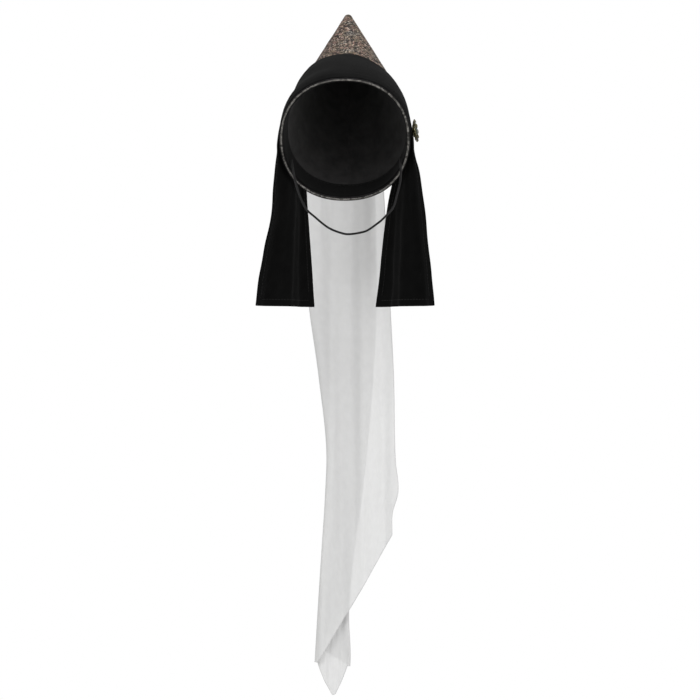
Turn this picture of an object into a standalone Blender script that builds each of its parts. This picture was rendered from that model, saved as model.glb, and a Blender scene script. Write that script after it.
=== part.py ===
"""A hennin: a brocade cone hat that tilts back from the head.

A black frontlet lies over the front of the cone and falls at each side as a lappet. A facing
lines the rim, a braid edges it, a brooch is pinned at the wearer's left, an elastic goes under
the chin, and a long folded veil hangs from the cone's tip.

Frame: +X is the wearer's left, +Y is behind the head and +Z is up. The origin is the centre of
the rim that the head goes into. Sizes are in metres and angles in degrees.
"""

import math

import bmesh
import bpy
from mathutils import Vector

NAME = "hennin"

# Clearance between two pieces that touch on the real hat.
GAP = 0.0003

# Rim: the outer edge of the cone's mouth, a rounded oval in a sloping plane.
RIM_HALF_WIDTH = 0.0820
RIM_HALF_LENGTH = 0.0985
RIM_RISE = 45.0
RIM_FULLNESS = 2.2

# Cone: a stiff shell from the rim to a blunt tip. It is tucked in towards the rim.
CONE_LENGTH = 0.300
CONE_RISE = 40.2
CONE_ASIDE = 0.0040
CONE_TUCK = 0.0055
CONE_TUCK_SHARE = 0.15
CONE_WALL = 0.0020
TIP_RADIUS = 0.0055

# Facing: the band inside the rim.
FACING_START = 0.003
FACING_SHARE = 0.08
FACING_WALL = 0.0010

# Braid along the rim.
BRAID_WIDTH = 0.0054
BRAID_THICKNESS = 0.0030
BRAID_GAP = 0.0005

# Frontlet: the cloth over the cone. The cone share that it covers grows towards the sides, and
# at the wearer's left its back edge is drawn down towards the brooch.
FRONTLET_SHARE = 0.287
FRONTLET_FLARE_RIGHT = 0.17
FRONTLET_FLARE_LEFT = 0.05
FRONTLET_DRAW = 0.085
FRONTLET_DRAW_TURNS = 50.0
FRONTLET_WALL = 0.0016
PUFF_RIGHT = 0.0036
PUFF_LEFT = 0.0007
LEAVING_TURN = -9.0
EDGE_LIFT_RIGHT = 0.0044
EDGE_LIFT_LEFT = 0.0058
EDGE_LIFT_TURNS = 20.0

# Lappets: the hanging ends of the frontlet, from the cone down to a straight hem.
LAPPET_HEM = -0.211
HEM_FRONT_OUT = 0.114
HEM_FRONT_BACK = 0.020
HEM_REAR_OUT = 0.040
HEM_REAR_BACK = 0.106
LAPPET_WAVE = 0.0050

# Brooch at the wearer's left, on the frontlet.
BROOCH_TURN = 3.2
BROOCH_SHARE = 0.036
BROOCH_HALF_HEIGHT = 0.0140
BROOCH_HALF_WIDTH = 0.0115
BROOCH_STAND = 0.0012
BROOCH_HEIGHT = 0.0034
BROOCH_TO_FRONT = 15.0
BROOCH_TO_TOP = 8.0
PETAL_COUNT = 10
PETAL_DEPTH = 0.10
STONE_SHARE = 0.36
STONE_HEIGHT = 0.0028
STONE_FACETS = 10
SMALL_STONE_RADIUS = 0.0016
PIN_RADIUS = 0.0003
PIN_LENGTH = 0.016

# Elastic under the chin. Out is to the wearer's left, front is towards the face.
STRAP_RADIUS = 0.0014
STRAP_TURN = -22.0
STRAP_SHARE = 0.03
CHIN_DROP = 0.1233
CHIN_FRONT = 0.051
STRAP_HALF_WIDTH = 0.0661

# Veil: a chiffon sheet gathered at the tip and folded into four layers.
VEIL_WALL = 0.0010
VEIL_DROP = 0.9455
VEIL_HALF_WIDTH = 0.060
VEIL_LAYER_STEP = 0.0080
GATHER_LAYER_STEP = 0.0019
VEIL_WAVE = 0.0045
VEIL_WAVE_LENGTH = 0.052

# Mesh fineness. All pieces on the cone share its turns, so that their facets lie side by side.
TURN_STEP = 9.0
NEAR_SHARES = (0.0, 0.02, 0.04, 0.06, 0.08, 0.115, 0.15)
FAR_SHARES = (0.30, 0.50, 0.72, 0.90, 1.0)
BAND_STEPS = 5
LAPPET_STEPS = 9
BRAID_STEP = 6.0
VEIL_ROWS = 22

# How far the frontlet stands off the cone across its width, as a share of its puff: two soft
# ridges run along it.
FRONTLET_SWELL = (
    # across, off the cone
    (0.00, 0.00),
    (0.12, 0.80),
    (0.38, 0.40),
    (0.68, 1.00),
    (0.90, 0.65),
    (1.00, 0.20),
)

# How much of the way out to its hem each lappet has gone, by share of the way down: its front
# and its rear edge at the wearer's right, which first bows the other way, and at the left.
LAPPET_FALL = (
    # down, front edge right, rear edge right, front edge left, rear edge left
    (0.00, 0.00, 0.00, 0.00, 0.00),
    (0.12, 0.10, -0.25, 0.27, -0.14),
    (0.25, 0.20, -0.40, 0.44, 0.08),
    (0.42, 0.28, -0.40, 0.58, 0.42),
    (0.62, 0.58, 0.05, 0.72, 0.65),
    (0.81, 0.81, 0.55, 0.87, 0.81),
    (1.00, 1.00, 1.00, 1.00, 1.00),
)

# Elastic route below the ends: out from the middle as a share of the half width, down as a share
# of the chin drop, and front as a share of the chin front.
STRAP_ROUTE = (
    # out, down, front
    (-0.94, 0.47, 0.10),
    (-0.765, 0.705, 0.35),
    (-0.572, 0.813, 0.51),
    (-0.310, 0.929, 0.75),
    (-0.054, 0.989, 0.94),
    (0.100, 1.000, 1.00),
    (0.307, 0.982, 0.94),
    (0.443, 0.955, 0.86),
    (0.616, 0.886, 0.67),
    (0.711, 0.843, 0.57),
    (0.843, 0.769, 0.43),
    (0.935, 0.704, 0.31),
    (1.000, 0.590, 0.20),
    (1.080, 0.400, 0.00),
)

# Lines of the veil that run down it, as shares of its half width out from the tip's middle, by
# share of the drop: the free edge in front, the three folds behind each other, and the free edge
# at the back.
VEIL_LINES = (
    # down, edge, left fold, right fold, inner fold, back edge
    (0.000, 0.078, -0.112, 0.073, -0.107, 0.063),
    (0.040, 0.233, -0.247, 0.203, -0.217, 0.173),
    (0.100, 0.483, -0.547, 0.373, -0.447, 0.333),
    (0.200, 0.753, -0.917, 0.573, -0.747, 0.493),
    (0.300, 0.873, -1.067, 0.653, -0.867, 0.493),
    (0.415, 0.973, -0.937, 0.673, -0.747, 0.433),
    (0.530, 1.063, -0.687, 0.593, -0.537, 0.353),
    (0.652, 1.103, -0.505, 0.423, -0.367, 0.213),
    (0.703, 1.153, -0.540, 0.333, -0.377, 0.133),
    (0.728, 1.038, -0.560, 0.283, -0.387, 0.093),
    (0.762, 1.023, -0.597, 0.203, -0.417, 0.033),
    (0.880, 0.983, -0.717, 0.023, -0.547, -0.127),
    (0.955, 0.933, -0.787, 0.053, -0.627, -0.167),
    (1.000, 0.883, -0.827, -0.047, -0.667, -0.187),
)

# Hem of the veil: how far down it is, as a share of the drop, by layers passed from the front.
VEIL_HEM = (
    # layers passed, down
    (0.00, 0.762),
    (1.00, 0.950),
    (1.10, 0.962),
    (1.30, 0.980),
    (1.60, 1.000),
    (1.70, 1.000),
    (1.87, 0.980),
    (2.00, 0.957),
    (3.00, 0.935),
    (4.00, 0.945),
)


def between(start, end, share):
    """Value or point at a share of the way from start to end."""
    return start + (end - start) * share


def power(value, exponent):
    """Power that keeps the sign of the value."""
    return math.copysign(abs(value) ** exponent, value)


def look_up(table, value):
    """Row of a table at a value of its first column, straight between the rows."""
    value = min(max(value, table[0][0]), table[-1][0])
    for low, high in zip(table, table[1:]):
        if value <= high[0]:
            share = (value - low[0]) / (high[0] - low[0])
            return [between(a, b, share) for a, b in zip(low[1:], high[1:])]
    return list(table[-1][1:])


def smooth_share(value):
    """Share from 0 to 1 that starts and ends softly."""
    value = min(max(value, 0.0), 1.0)
    return value * value * (3.0 - 2.0 * value)


def smooth_route(points, steps):
    """Points of a smooth curve that passes through the given ones."""
    padded = [points[0] * 2 - points[1]] + list(points) + [points[-1] * 2 - points[-2]]
    route = []
    for index in range(1, len(padded) - 2):
        before, start, end, after = padded[index - 1:index + 3]
        for step in range(steps):
            t = step / steps
            route.append(0.5 * (2 * start + (end - before) * t
                                + (2 * before - 5 * start + 4 * end - after) * t ** 2
                                + (3 * start - before - 3 * end + after) * t ** 3))
    route.append(points[-1])
    return route


# Scene, materials and meshes.

def clear_scene():
    """Remove every object that is there at the start."""
    for thing in list(bpy.data.objects):
        bpy.data.objects.remove(thing, do_unlink=True)


def new_collection(name):
    """New collection in the scene."""
    collection = bpy.data.collections.new(name)
    bpy.context.scene.collection.children.link(collection)
    return collection


def new_material(name, colour, metallic, roughness):
    """Principled material with a plain colour."""
    material = bpy.data.materials.new(name)
    material.use_nodes = True
    shader = material.node_tree.nodes["Principled BSDF"]
    shader.inputs["Base Color"].default_value = (*colour, 1.0)
    shader.inputs["Metallic"].default_value = metallic
    shader.inputs["Roughness"].default_value = roughness
    material.diffuse_color = (*colour, 1.0)
    return material


def new_object(name, data, collection, material):
    """Object with a material in the hat's collection."""
    thing = bpy.data.objects.new(name, data)
    data.materials.append(material)
    collection.objects.link(thing)
    return thing


def mesh_from(name, points, faces):
    """Mesh with consistent face directions."""
    mesh = bpy.data.meshes.new(name)
    mesh.from_pydata([tuple(point) for point in points], [], faces)
    work = bmesh.new()
    work.from_mesh(mesh)
    bmesh.ops.recalc_face_normals(work, faces=work.faces)
    work.to_mesh(mesh)
    work.free()
    mesh.update()
    return mesh


def grid_faces(rows, columns, closed=False):
    """Quads between rows of points, with the last column joined to the first if closed."""
    faces = []
    spans = columns if closed else columns - 1
    for row in range(rows - 1):
        for column in range(spans):
            following = (column + 1) % columns
            faces.append((
                row * columns + column,
                row * columns + following,
                (row + 1) * columns + following,
                (row + 1) * columns + column,
            ))
    return faces


def surface_mesh(name, points, faces):
    """Open surface with the face directions of its face list."""
    mesh = bpy.data.meshes.new(name)
    mesh.from_pydata([tuple(point) for point in points], [], faces)
    mesh.update()
    return mesh


def thicken(thing, wall, offset):
    """Give an open surface a wall: offset 1 along its face directions, -1 against them."""
    modifier = thing.modifiers.new("wall", "SOLIDIFY")
    modifier.thickness = wall
    modifier.offset = offset
    modifier.use_even_offset = True
    modifier.use_quality_normals = True


# Cone surface, on which most pieces lie. A turn goes round it: 0 is the wearer's left and 90 is
# the top. A share goes along it: 0 is the rim and 1 is the tip.

def rise_direction(rise):
    """Direction that points back and up at a rise."""
    angle = math.radians(rise)
    return Vector((0.0, math.cos(angle), math.sin(angle)))


def across_direction(rise):
    """Direction square to the rise, towards the top of the forehead."""
    angle = math.radians(rise)
    return Vector((0.0, -math.sin(angle), math.cos(angle)))


def tip_middle():
    """Middle of the blunt tip."""
    return rise_direction(CONE_RISE) * CONE_LENGTH + Vector((CONE_ASIDE, 0.0, 0.0))


def cone_point(turn, share):
    """Point on the outside of the cone."""
    tucked = max(0.0, 1.0 - share / CONE_TUCK_SHARE) ** 2
    tuck = CONE_TUCK * tucked
    half_width = between(RIM_HALF_WIDTH + CONE_TUCK, TIP_RADIUS, share) - tuck
    half_length = between(RIM_HALF_LENGTH + CONE_TUCK, TIP_RADIUS, share) - tuck
    exponent = 2.0 / between(RIM_FULLNESS, 2.0, share)
    angle = math.radians(turn)
    across = across_direction(between(RIM_RISE, CONE_RISE, share))
    aside = CONE_ASIDE * (1.0 - tucked)
    point = rise_direction(CONE_RISE) * (CONE_LENGTH * share)
    point.x = aside + half_width * power(math.cos(angle), exponent)
    return point + across * (half_length * power(math.sin(angle), exponent))


def cone_normal(turn, share):
    """Outward direction of the cone's surface."""
    low = max(share - 0.004, 0.0)
    high = min(share + 0.004, 1.0)
    round_it = cone_point(turn + 1.5, share) - cone_point(turn - 1.5, share)
    along_it = cone_point(turn, high) - cone_point(turn, low)
    return along_it.cross(round_it).normalized()


def lifted(turn, share, lift):
    """Point off the cone's surface by a lift."""
    return cone_point(turn, share) + cone_normal(turn, share) * lift


def ring_turns(step):
    """Turns of a closed ring, from the top of the forehead round."""
    count = round(360.0 / step)
    return [90.0 - index * 360.0 / count for index in range(count)]


def build_cone(collection, material):
    """Cone shell, closed at its blunt tip."""
    turns = ring_turns(TURN_STEP)
    shares = NEAR_SHARES + FAR_SHARES
    points = [cone_point(turn, share) for share in shares for turn in turns]
    faces = grid_faces(len(shares), len(turns), closed=True)
    points.append(tip_middle())
    last_row = (len(shares) - 1) * len(turns)
    for index in range(len(turns)):
        following = (index + 1) % len(turns)
        faces.append((last_row + index, last_row + following, len(points) - 1))
    cone = new_object("cone", surface_mesh("cone", points, faces), collection, material)
    thicken(cone, CONE_WALL, -1.0)
    return cone


def build_facing(collection, material):
    """Band that lines the rim."""
    turns = ring_turns(TURN_STEP)
    shares = [FACING_START] + [share for share in NEAR_SHARES if 0.0 < share <= FACING_SHARE]
    lift = -(CONE_WALL + GAP)
    points = [lifted(turn, share, lift) for share in shares for turn in turns]
    faces = grid_faces(len(shares), len(turns), closed=True)
    facing = new_object("rim_facing", surface_mesh("rim_facing", points, faces), collection,
                        material)
    thicken(facing, FACING_WALL, -1.0)
    return facing


def build_braid(collection, material):
    """Braid that runs round the whole rim, in front of the edges of cone, facing and frontlet."""
    face_side = -rise_direction(RIM_RISE)
    middle_in = 0.5 * (CONE_WALL + FACING_WALL - FRONTLET_WALL)
    half_width = 0.5 * BRAID_WIDTH
    half_thickness = 0.5 * BRAID_THICKNESS
    profile = []
    for step in range(8):
        angle = math.radians(22.5 + 45.0 * step)
        profile.append((
            half_width * power(math.cos(angle), 0.6) / power(math.cos(math.radians(22.5)), 0.6),
            half_thickness * power(math.sin(angle), 0.6)
            / power(math.cos(math.radians(22.5)), 0.6),
        ))
    points = []
    turns = ring_turns(BRAID_STEP)
    for turn in turns:
        tangent = (cone_point(turn + 1.5, 0.0) - cone_point(turn - 1.5, 0.0)).normalized()
        outward = rise_direction(RIM_RISE).cross(tangent).normalized()
        middle = cone_point(turn, 0.0) - outward * middle_in
        middle = middle + face_side * (BRAID_GAP + half_thickness)
        for out, forward in profile:
            points.append(middle + outward * out + face_side * forward)
    faces = []
    for row in range(len(turns)):
        for column in range(8):
            next_row = (row + 1) % len(turns)
            next_column = (column + 1) % 8
            faces.append((row * 8 + column, row * 8 + next_column,
                          next_row * 8 + next_column, next_row * 8 + column))
    return new_object("rim_braid", mesh_from("rim_braid", points, faces), collection, material)


# Frontlet with its lappets.

def is_left(turn):
    """Whether a turn is on the wearer's left."""
    return turn < 90.0


def frontlet_share(turn):
    """Share of the cone that the frontlet covers at a turn."""
    flare = FRONTLET_FLARE_LEFT if is_left(turn) else FRONTLET_FLARE_RIGHT
    drawn = FRONTLET_DRAW * smooth_share((90.0 - turn) / FRONTLET_DRAW_TURNS)
    return FRONTLET_SHARE + flare * (1.0 - math.sin(math.radians(turn))) * 0.8 - drawn


def frontlet_lift(turn, across):
    """How far the cloth's inside is off the cone. Across is 0 at the rim and 1 at the back.

    Where the lappets leave the cone, the front edge stands off so that it hangs past the braid.
    """
    puff = PUFF_LEFT if is_left(turn) else PUFF_RIGHT
    edge_lift = EDGE_LIFT_LEFT if is_left(turn) else EDGE_LIFT_RIGHT
    side = abs(math.cos(math.radians(turn)))
    swell = look_up(FRONTLET_SWELL, across)[0]
    from_leaving = 90.0 - LEAVING_TURN - abs(turn - 90.0)
    past_braid = edge_lift * smooth_share(1.0 - from_leaving / EDGE_LIFT_TURNS)
    return GAP + puff * (0.45 + 0.55 * side) * swell + past_braid * (1.0 - across) ** 2


def frontlet_row(turn):
    """Points of the cloth's inside across its width, where it lies on the cone."""
    covered = frontlet_share(turn)
    shares = list(NEAR_SHARES)
    for step in range(1, BAND_STEPS + 1):
        shares.append(between(NEAR_SHARES[-1], covered, step / BAND_STEPS))
    return [lifted(turn, share, frontlet_lift(turn, share / covered)) for share in shares]


def lappet_row(top_row, side, down):
    """Points of a lappet across its width, at a share of the way down to the hem."""
    lengths = [0.0]
    for first, second in zip(top_row, top_row[1:]):
        lengths.append(lengths[-1] + (second - first).length)
    covered = [length / lengths[-1] for length in lengths]
    row = []
    for start, across in zip(top_row, covered):
        end = Vector((
            side * between(HEM_FRONT_OUT, HEM_REAR_OUT, across),
            between(HEM_FRONT_BACK, HEM_REAR_BACK, across),
            LAPPET_HEM,
        ))
        falls = look_up(LAPPET_FALL, down)
        front_fall, rear_fall = falls[2:] if side > 0 else falls[:2]
        point = Vector((
            between(start.x, end.x, between(front_fall, rear_fall, across)),
            between(start.y, end.y, smooth_share(down)),
            between(start.z, end.z, down),
        ))
        wave = LAPPET_WAVE * smooth_share(down) * math.sin(math.radians(540.0 * across))
        point.x += side * 0.75 * wave
        point.y += 0.65 * wave
        row.append(point)
    return row


def build_frontlet(collection, material):
    """One long cloth: the band over the cone and a lappet at each side."""
    steps = round((90.0 - LEAVING_TURN) / TURN_STEP)
    left_row = frontlet_row(90.0 - steps * TURN_STEP)
    right_row = frontlet_row(90.0 + steps * TURN_STEP)
    rows = []
    for step in range(LAPPET_STEPS, 0, -1):
        rows.append(lappet_row(left_row, 1.0, step / LAPPET_STEPS))
    for step in range(-steps, steps + 1):
        rows.append(frontlet_row(90.0 + step * TURN_STEP))
    for step in range(1, LAPPET_STEPS + 1):
        rows.append(lappet_row(right_row, -1.0, step / LAPPET_STEPS))
    points = [point for row in rows for point in row]
    columns = len(rows[0])
    faces = grid_faces(len(rows), columns)
    frontlet = new_object("frontlet", surface_mesh("frontlet", points, faces), collection,
                          material)
    thicken(frontlet, FRONTLET_WALL, 1.0)
    return frontlet


# Brooch.

def brooch_frame():
    """Origin behind the brooch's plate, and its directions to the back of the head, up and out.

    The brooch lies on the cloth's slope, so it faces a little to the front and to the top.
    """
    across = BROOCH_SHARE / frontlet_share(BROOCH_TURN)
    lift = frontlet_lift(BROOCH_TURN, across) + FRONTLET_WALL + BROOCH_STAND
    to_front = math.tan(math.radians(BROOCH_TO_FRONT))
    to_top = math.tan(math.radians(BROOCH_TO_TOP))
    out = Vector((1.0, -to_front, to_top)).normalized()
    up = Vector((0.0, 0.0, 1.0))
    up = (up - out * up.dot(out)).normalized()
    back = up.cross(out)
    return lifted(BROOCH_TURN, BROOCH_SHARE, lift), back, up, out


def brooch_point(frame, backward, upward, outward):
    """Point from its places along the brooch's directions."""
    origin, back, up, out = frame
    return origin + back * backward + up * upward + out * outward


def ring_body(frame, rings, count, middle=(0.0, 0.0)):
    """Closed body from rings of points, each ring a list of (backward, upward, outward)."""
    points = []
    for ring in rings:
        for backward, upward, outward in ring:
            points.append(brooch_point(frame, backward + middle[0], upward + middle[1], outward))
    faces = grid_faces(len(rings), count, closed=True)
    faces.append(tuple(range(count)))
    last_row = (len(rings) - 1) * count
    faces.append(tuple(last_row + index for index in range(count)))
    return points, faces


def oval_ring(count, share, height, petals=0.0):
    """Ring of the brooch's oval outline at a share of its size."""
    ring = []
    for index in range(count):
        angle = 2.0 * math.pi * index / count
        size = share * (1.0 + petals * math.cos(PETAL_COUNT * angle))
        ring.append((
            BROOCH_HALF_WIDTH * size * math.cos(angle),
            BROOCH_HALF_HEIGHT * size * math.sin(angle),
            height,
        ))
    return ring


def build_brooch(collection, metal, stone, light_stone, dark_stone):
    """Setting with petals, a middle stone, two small stones and a plain pin behind."""
    frame = brooch_frame()
    count = 4 * PETAL_COUNT
    full = 1.0 / (1.0 + PETAL_DEPTH)
    rings = [
        oval_ring(count, 0.30, 0.0),
        oval_ring(count, 0.90 * full, 0.0, PETAL_DEPTH),
        oval_ring(count, full, 0.30 * BROOCH_HEIGHT, PETAL_DEPTH),
        oval_ring(count, 0.92 * full, 0.62 * BROOCH_HEIGHT, PETAL_DEPTH),
        oval_ring(count, 0.74 * full, 0.74 * BROOCH_HEIGHT, PETAL_DEPTH),
        oval_ring(count, 0.50, 0.50 * BROOCH_HEIGHT),
        oval_ring(count, STONE_SHARE + 0.08, BROOCH_HEIGHT),
        oval_ring(count, STONE_SHARE + 0.03, BROOCH_HEIGHT),
        oval_ring(count, STONE_SHARE + 0.02, 0.60 * BROOCH_HEIGHT),
    ]
    points, faces = ring_body(frame, rings, count)
    setting = mesh_from("brooch_setting", points, faces)
    new_object("brooch_setting", setting, collection, metal)

    seat = 0.60 * BROOCH_HEIGHT + GAP
    rings = [
        oval_ring(STONE_FACETS, 0.55 * STONE_SHARE, seat),
        oval_ring(STONE_FACETS, STONE_SHARE - 0.01, seat + 0.40 * STONE_HEIGHT),
        oval_ring(STONE_FACETS, STONE_SHARE - 0.02, seat + 0.55 * STONE_HEIGHT),
        oval_ring(STONE_FACETS, 0.62 * STONE_SHARE, seat + STONE_HEIGHT),
    ]
    points, faces = ring_body(frame, rings, STONE_FACETS)
    new_object("brooch_stone", mesh_from("brooch_stone", points, faces), collection, stone)

    places = (("brooch_stone_top", 1.0, light_stone), ("brooch_stone_low", -1.0, dark_stone))
    for name, side, material in places:
        base = 0.74 * BROOCH_HEIGHT + GAP
        rings = []
        for share, height in ((0.70, 0.0), (1.0, 0.0008), (0.95, 0.0011), (0.60, 0.0019)):
            ring = []
            for index in range(STONE_FACETS):
                angle = 2.0 * math.pi * index / STONE_FACETS
                radius = SMALL_STONE_RADIUS * share
                ring.append((radius * math.cos(angle), radius * math.sin(angle), base + height))
            rings.append(ring)
        middle = (0.0, side * 0.72 * BROOCH_HALF_HEIGHT)
        points, faces = ring_body(frame, rings, STONE_FACETS, middle)
        new_object(name, mesh_from(name, points, faces), collection, material)

    rings = []
    for upward in (-0.5 * PIN_LENGTH, 0.5 * PIN_LENGTH):
        ring = []
        for index in range(12):
            angle = 2.0 * math.pi * index / 12
            ring.append((PIN_RADIUS * math.cos(angle), upward,
                         PIN_RADIUS * math.sin(angle) - 0.5 * BROOCH_STAND))
        rings.append(ring)
    points, faces = ring_body(frame, rings, 12)
    new_object("brooch_pin", mesh_from("brooch_pin", points, faces), collection, metal)


# Elastic.

def build_strap(collection, material):
    """Elastic from inside the rim at one side, under the chin, to inside it at the other."""
    lift = -(CONE_WALL + GAP + FACING_WALL + 3.0 * GAP + STRAP_RADIUS)
    first = lifted(180.0 - STRAP_TURN, STRAP_SHARE, lift)
    last = lifted(STRAP_TURN, STRAP_SHARE, lift)
    route = [first]
    for out, down, front in STRAP_ROUTE:
        route.append(Vector((
            STRAP_HALF_WIDTH * out,
            -CHIN_FRONT * front,
            -CHIN_DROP * down,
        )))
    route.append(last)
    points = smooth_route(route, 4)
    curve = bpy.data.curves.new("chin_strap", "CURVE")
    curve.dimensions = "3D"
    curve.bevel_depth = STRAP_RADIUS
    curve.bevel_resolution = 2
    curve.use_fill_caps = True
    spline = curve.splines.new("POLY")
    spline.points.add(len(points) - 1)
    for place, point in zip(spline.points, points):
        place.co = (*point, 1.0)
    return new_object("chin_strap", curve, collection, material)


# Veil.

def veil_section(down):
    """Line across the veil at a share of the drop: (layers passed, out, back) of its points."""
    lines = [VEIL_HALF_WIDTH * value for value in look_up(VEIL_LINES, down)]
    step = between(GATHER_LAYER_STEP, VEIL_LAYER_STEP, smooth_share(down / 0.25))
    section = []
    for layer in range(4):
        heading = math.copysign(1.0, lines[layer + 1] - lines[layer])
        start = lines[layer] + (0.0 if layer == 0 else heading * 0.5 * step)
        end = lines[layer + 1] - (0.0 if layer == 3 else heading * 0.5 * step)
        for index in range(6):
            share = index / 5
            section.append((layer + share, between(start, end, share), layer * step))
        if layer < 3:
            section.append((layer + 1.0, end + heading * 0.5 * step, (layer + 0.5) * step))
    return section


def veil_point(down, column):
    """Point of the veil at a share of the drop, on one of its columns."""
    passed, out, back = veil_section(down)[column]
    growth = smooth_share(down / 0.3)
    wave = VEIL_WAVE * growth * math.sin(2.0 * math.pi * out / VEIL_WAVE_LENGTH + 3.0 * down)
    start = cone_point(-90.0, 1.0).y + GAP + 0.5 * VEIL_WALL
    sway = VEIL_WAVE * growth
    top = tip_middle()
    return Vector((top.x + out, start + sway + back + wave, top.z - VEIL_DROP * down))


def build_veil(collection, material):
    """Folded veil from the tip to its slanting hem."""
    columns = len(veil_section(0.0))
    points = []
    for row in range(VEIL_ROWS + 1):
        for column in range(columns):
            passed = veil_section(0.0)[column][0]
            hem = look_up(VEIL_HEM, passed)[0]
            points.append(veil_point(hem * row / VEIL_ROWS, column))
    faces = grid_faces(VEIL_ROWS + 1, columns)
    veil = new_object("veil", surface_mesh("veil", points, faces), collection, material)
    thicken(veil, VEIL_WALL, 0.0)
    return veil


def main():
    """Build every piece of the hat."""
    clear_scene()
    hat = new_collection(NAME)
    brocade = new_material("brocade", (0.20, 0.15, 0.12), 0.3, 0.5)
    black_cloth = new_material("black_cloth", (0.010, 0.010, 0.010), 0.0, 0.9)
    lining = new_material("black_facing", (0.008, 0.008, 0.008), 0.0, 0.9)
    braid = new_material("metal_braid", (0.15, 0.15, 0.15), 0.6, 0.4)
    gold = new_material("antique_gold", (0.18, 0.17, 0.09), 1.0, 0.4)
    green_stone = new_material("green_stone", (0.05, 0.08, 0.05), 0.0, 0.1)
    clear_stone = new_material("clear_stone", (0.60, 0.60, 0.60), 0.0, 0.1)
    navy_stone = new_material("navy_stone", (0.02, 0.02, 0.05), 0.0, 0.1)
    elastic = new_material("black_elastic", (0.012, 0.012, 0.012), 0.0, 0.8)
    chiffon = new_material("white_chiffon", (0.75, 0.75, 0.74), 0.0, 0.9)
    build_cone(hat, brocade)
    build_frontlet(hat, black_cloth)
    build_facing(hat, lining)
    build_braid(hat, braid)
    build_brooch(hat, gold, green_stone, clear_stone, navy_stone)
    build_strap(hat, elastic)
    build_veil(hat, chiffon)


main()
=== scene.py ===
"""Looks of a hennin: a brocade cone hat with a black frontlet, lappets, a brooch and a veil.

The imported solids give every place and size. Each piece here is made finer on the same surfaces,
in metres, with +X to the wearer's left, +Y behind the head and +Z up.
"""

import math

import bmesh
import bpy
import numpy as np
from bpy.props import (
    FloatProperty,
    FloatVectorProperty,
    IntProperty,
    PointerProperty,
)
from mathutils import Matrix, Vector, noise


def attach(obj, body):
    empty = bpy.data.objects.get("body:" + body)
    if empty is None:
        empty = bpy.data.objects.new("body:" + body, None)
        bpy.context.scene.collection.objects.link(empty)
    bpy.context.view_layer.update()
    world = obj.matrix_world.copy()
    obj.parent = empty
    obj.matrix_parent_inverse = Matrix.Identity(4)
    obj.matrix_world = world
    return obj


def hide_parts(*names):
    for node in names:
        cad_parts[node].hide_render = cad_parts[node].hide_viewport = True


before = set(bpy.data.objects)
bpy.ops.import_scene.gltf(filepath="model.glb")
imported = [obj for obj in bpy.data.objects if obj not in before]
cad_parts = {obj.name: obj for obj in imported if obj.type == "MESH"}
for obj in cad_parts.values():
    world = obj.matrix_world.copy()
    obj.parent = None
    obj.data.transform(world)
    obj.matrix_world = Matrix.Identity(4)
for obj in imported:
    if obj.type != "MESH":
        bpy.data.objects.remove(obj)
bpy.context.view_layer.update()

bl_info = {
    "name": "Hennin Cone Hat",
    "version": (1, 0, 0),
    "blender": (4, 5, 0),
    "location": "3D View > Sidebar > Hennin",
    "description": "Builds the pieces, finishes and stage of a cone hat with a veil",
    "category": "Object",
}

CLOTH_MAP = "cloth"
MILLIMETRES = 1000.0
# Gap between pieces that lie on one another.
GAP = 0.0003
# Turns of the cone at its top, and at its back where the seam is.
TOP_TURN = 0.5 * math.pi
SEAM_TURN = -0.5 * math.pi
# Points round the cone and its facing, and the steps that their directions are measured over.
CONE_COLUMNS = 180
TURN_STEP = 0.02
SHARE_STEP = 0.004
# Most values of a soft noise lie between these.
NOISE_RANGE = (0.3, 0.7)
# How far a cloth's rounded edge stands out, as a share of half its thickness.
EDGE_ROUNDING = 0.8
# Length of a stitch on the facing, and radius of the stitches on the frontlet and the facing.
FACING_STITCH = 0.0035
FRONTLET_STITCH_RADIUS = 0.00028
FACING_STITCH_RADIUS = 0.00026

# Cloth drawn in over the blunt tip: how far out each ring of it is, as a share of the tip's
# radius, how far it stands past the tip, and its share along the flat pattern.
TIP_CAP = (
    # out, past the tip, share
    (0.970, -0.0005, 1.0010),
    (0.860, -0.0001, 1.0020),
    (0.620, 0.0001, 1.0035),
    (0.340, -0.0001, 1.0045),
    (0.120, -0.0007, 1.0050),
    (0.015, -0.0014, 1.0055),
)

# How far the frontlet stands off the cone across its width, as a share of its puff.
FRONTLET_SWELL = (
    # across, off the cone
    (0.00, 0.00),
    (0.12, 0.80),
    (0.38, 0.40),
    (0.68, 1.00),
    (0.90, 0.65),
    (1.00, 0.20),
)

# How much of the way out to its hem each lappet has gone, by share of the way down: its front
# and its rear edge at the wearer's right, which first bows the other way, and at the left.
LAPPET_FALL = (
    # down, front edge right, rear edge right, front edge left, rear edge left
    (0.00, 0.00, 0.00, 0.00, 0.00),
    (0.12, 0.10, -0.25, 0.27, -0.14),
    (0.25, 0.20, -0.40, 0.44, 0.08),
    (0.42, 0.28, -0.40, 0.58, 0.42),
    (0.62, 0.58, 0.05, 0.72, 0.65),
    (0.81, 0.81, 0.55, 0.87, 0.81),
    (1.00, 1.00, 1.00, 1.00, 1.00),
)

# Rows of petals: how many steps each is turned, its inner and outer end as shares of the brooch's
# half sizes, half width, height of the inner end, and then height of the outer end as a share of
# the bezel's and radius of the wire as a share of its setting.
PETAL_ROWS = (
    # turned, inner, outer, half width, low, high, wire
    (0.0, 0.42, 0.99, 0.0031, 0.0007, 1.05, 1.0),
    (0.5, 0.40, 0.80, 0.0019, 0.0004, 0.40, 0.7),
)

# Back plate of the brooch.
BROOCH_PLATE = (
    # share of the half sizes, height
    (0.10, 0.0000),
    (0.58, 0.0000),
    (0.60, 0.0004),
    (0.58, 0.0010),
    (0.10, 0.0011),
)

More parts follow.
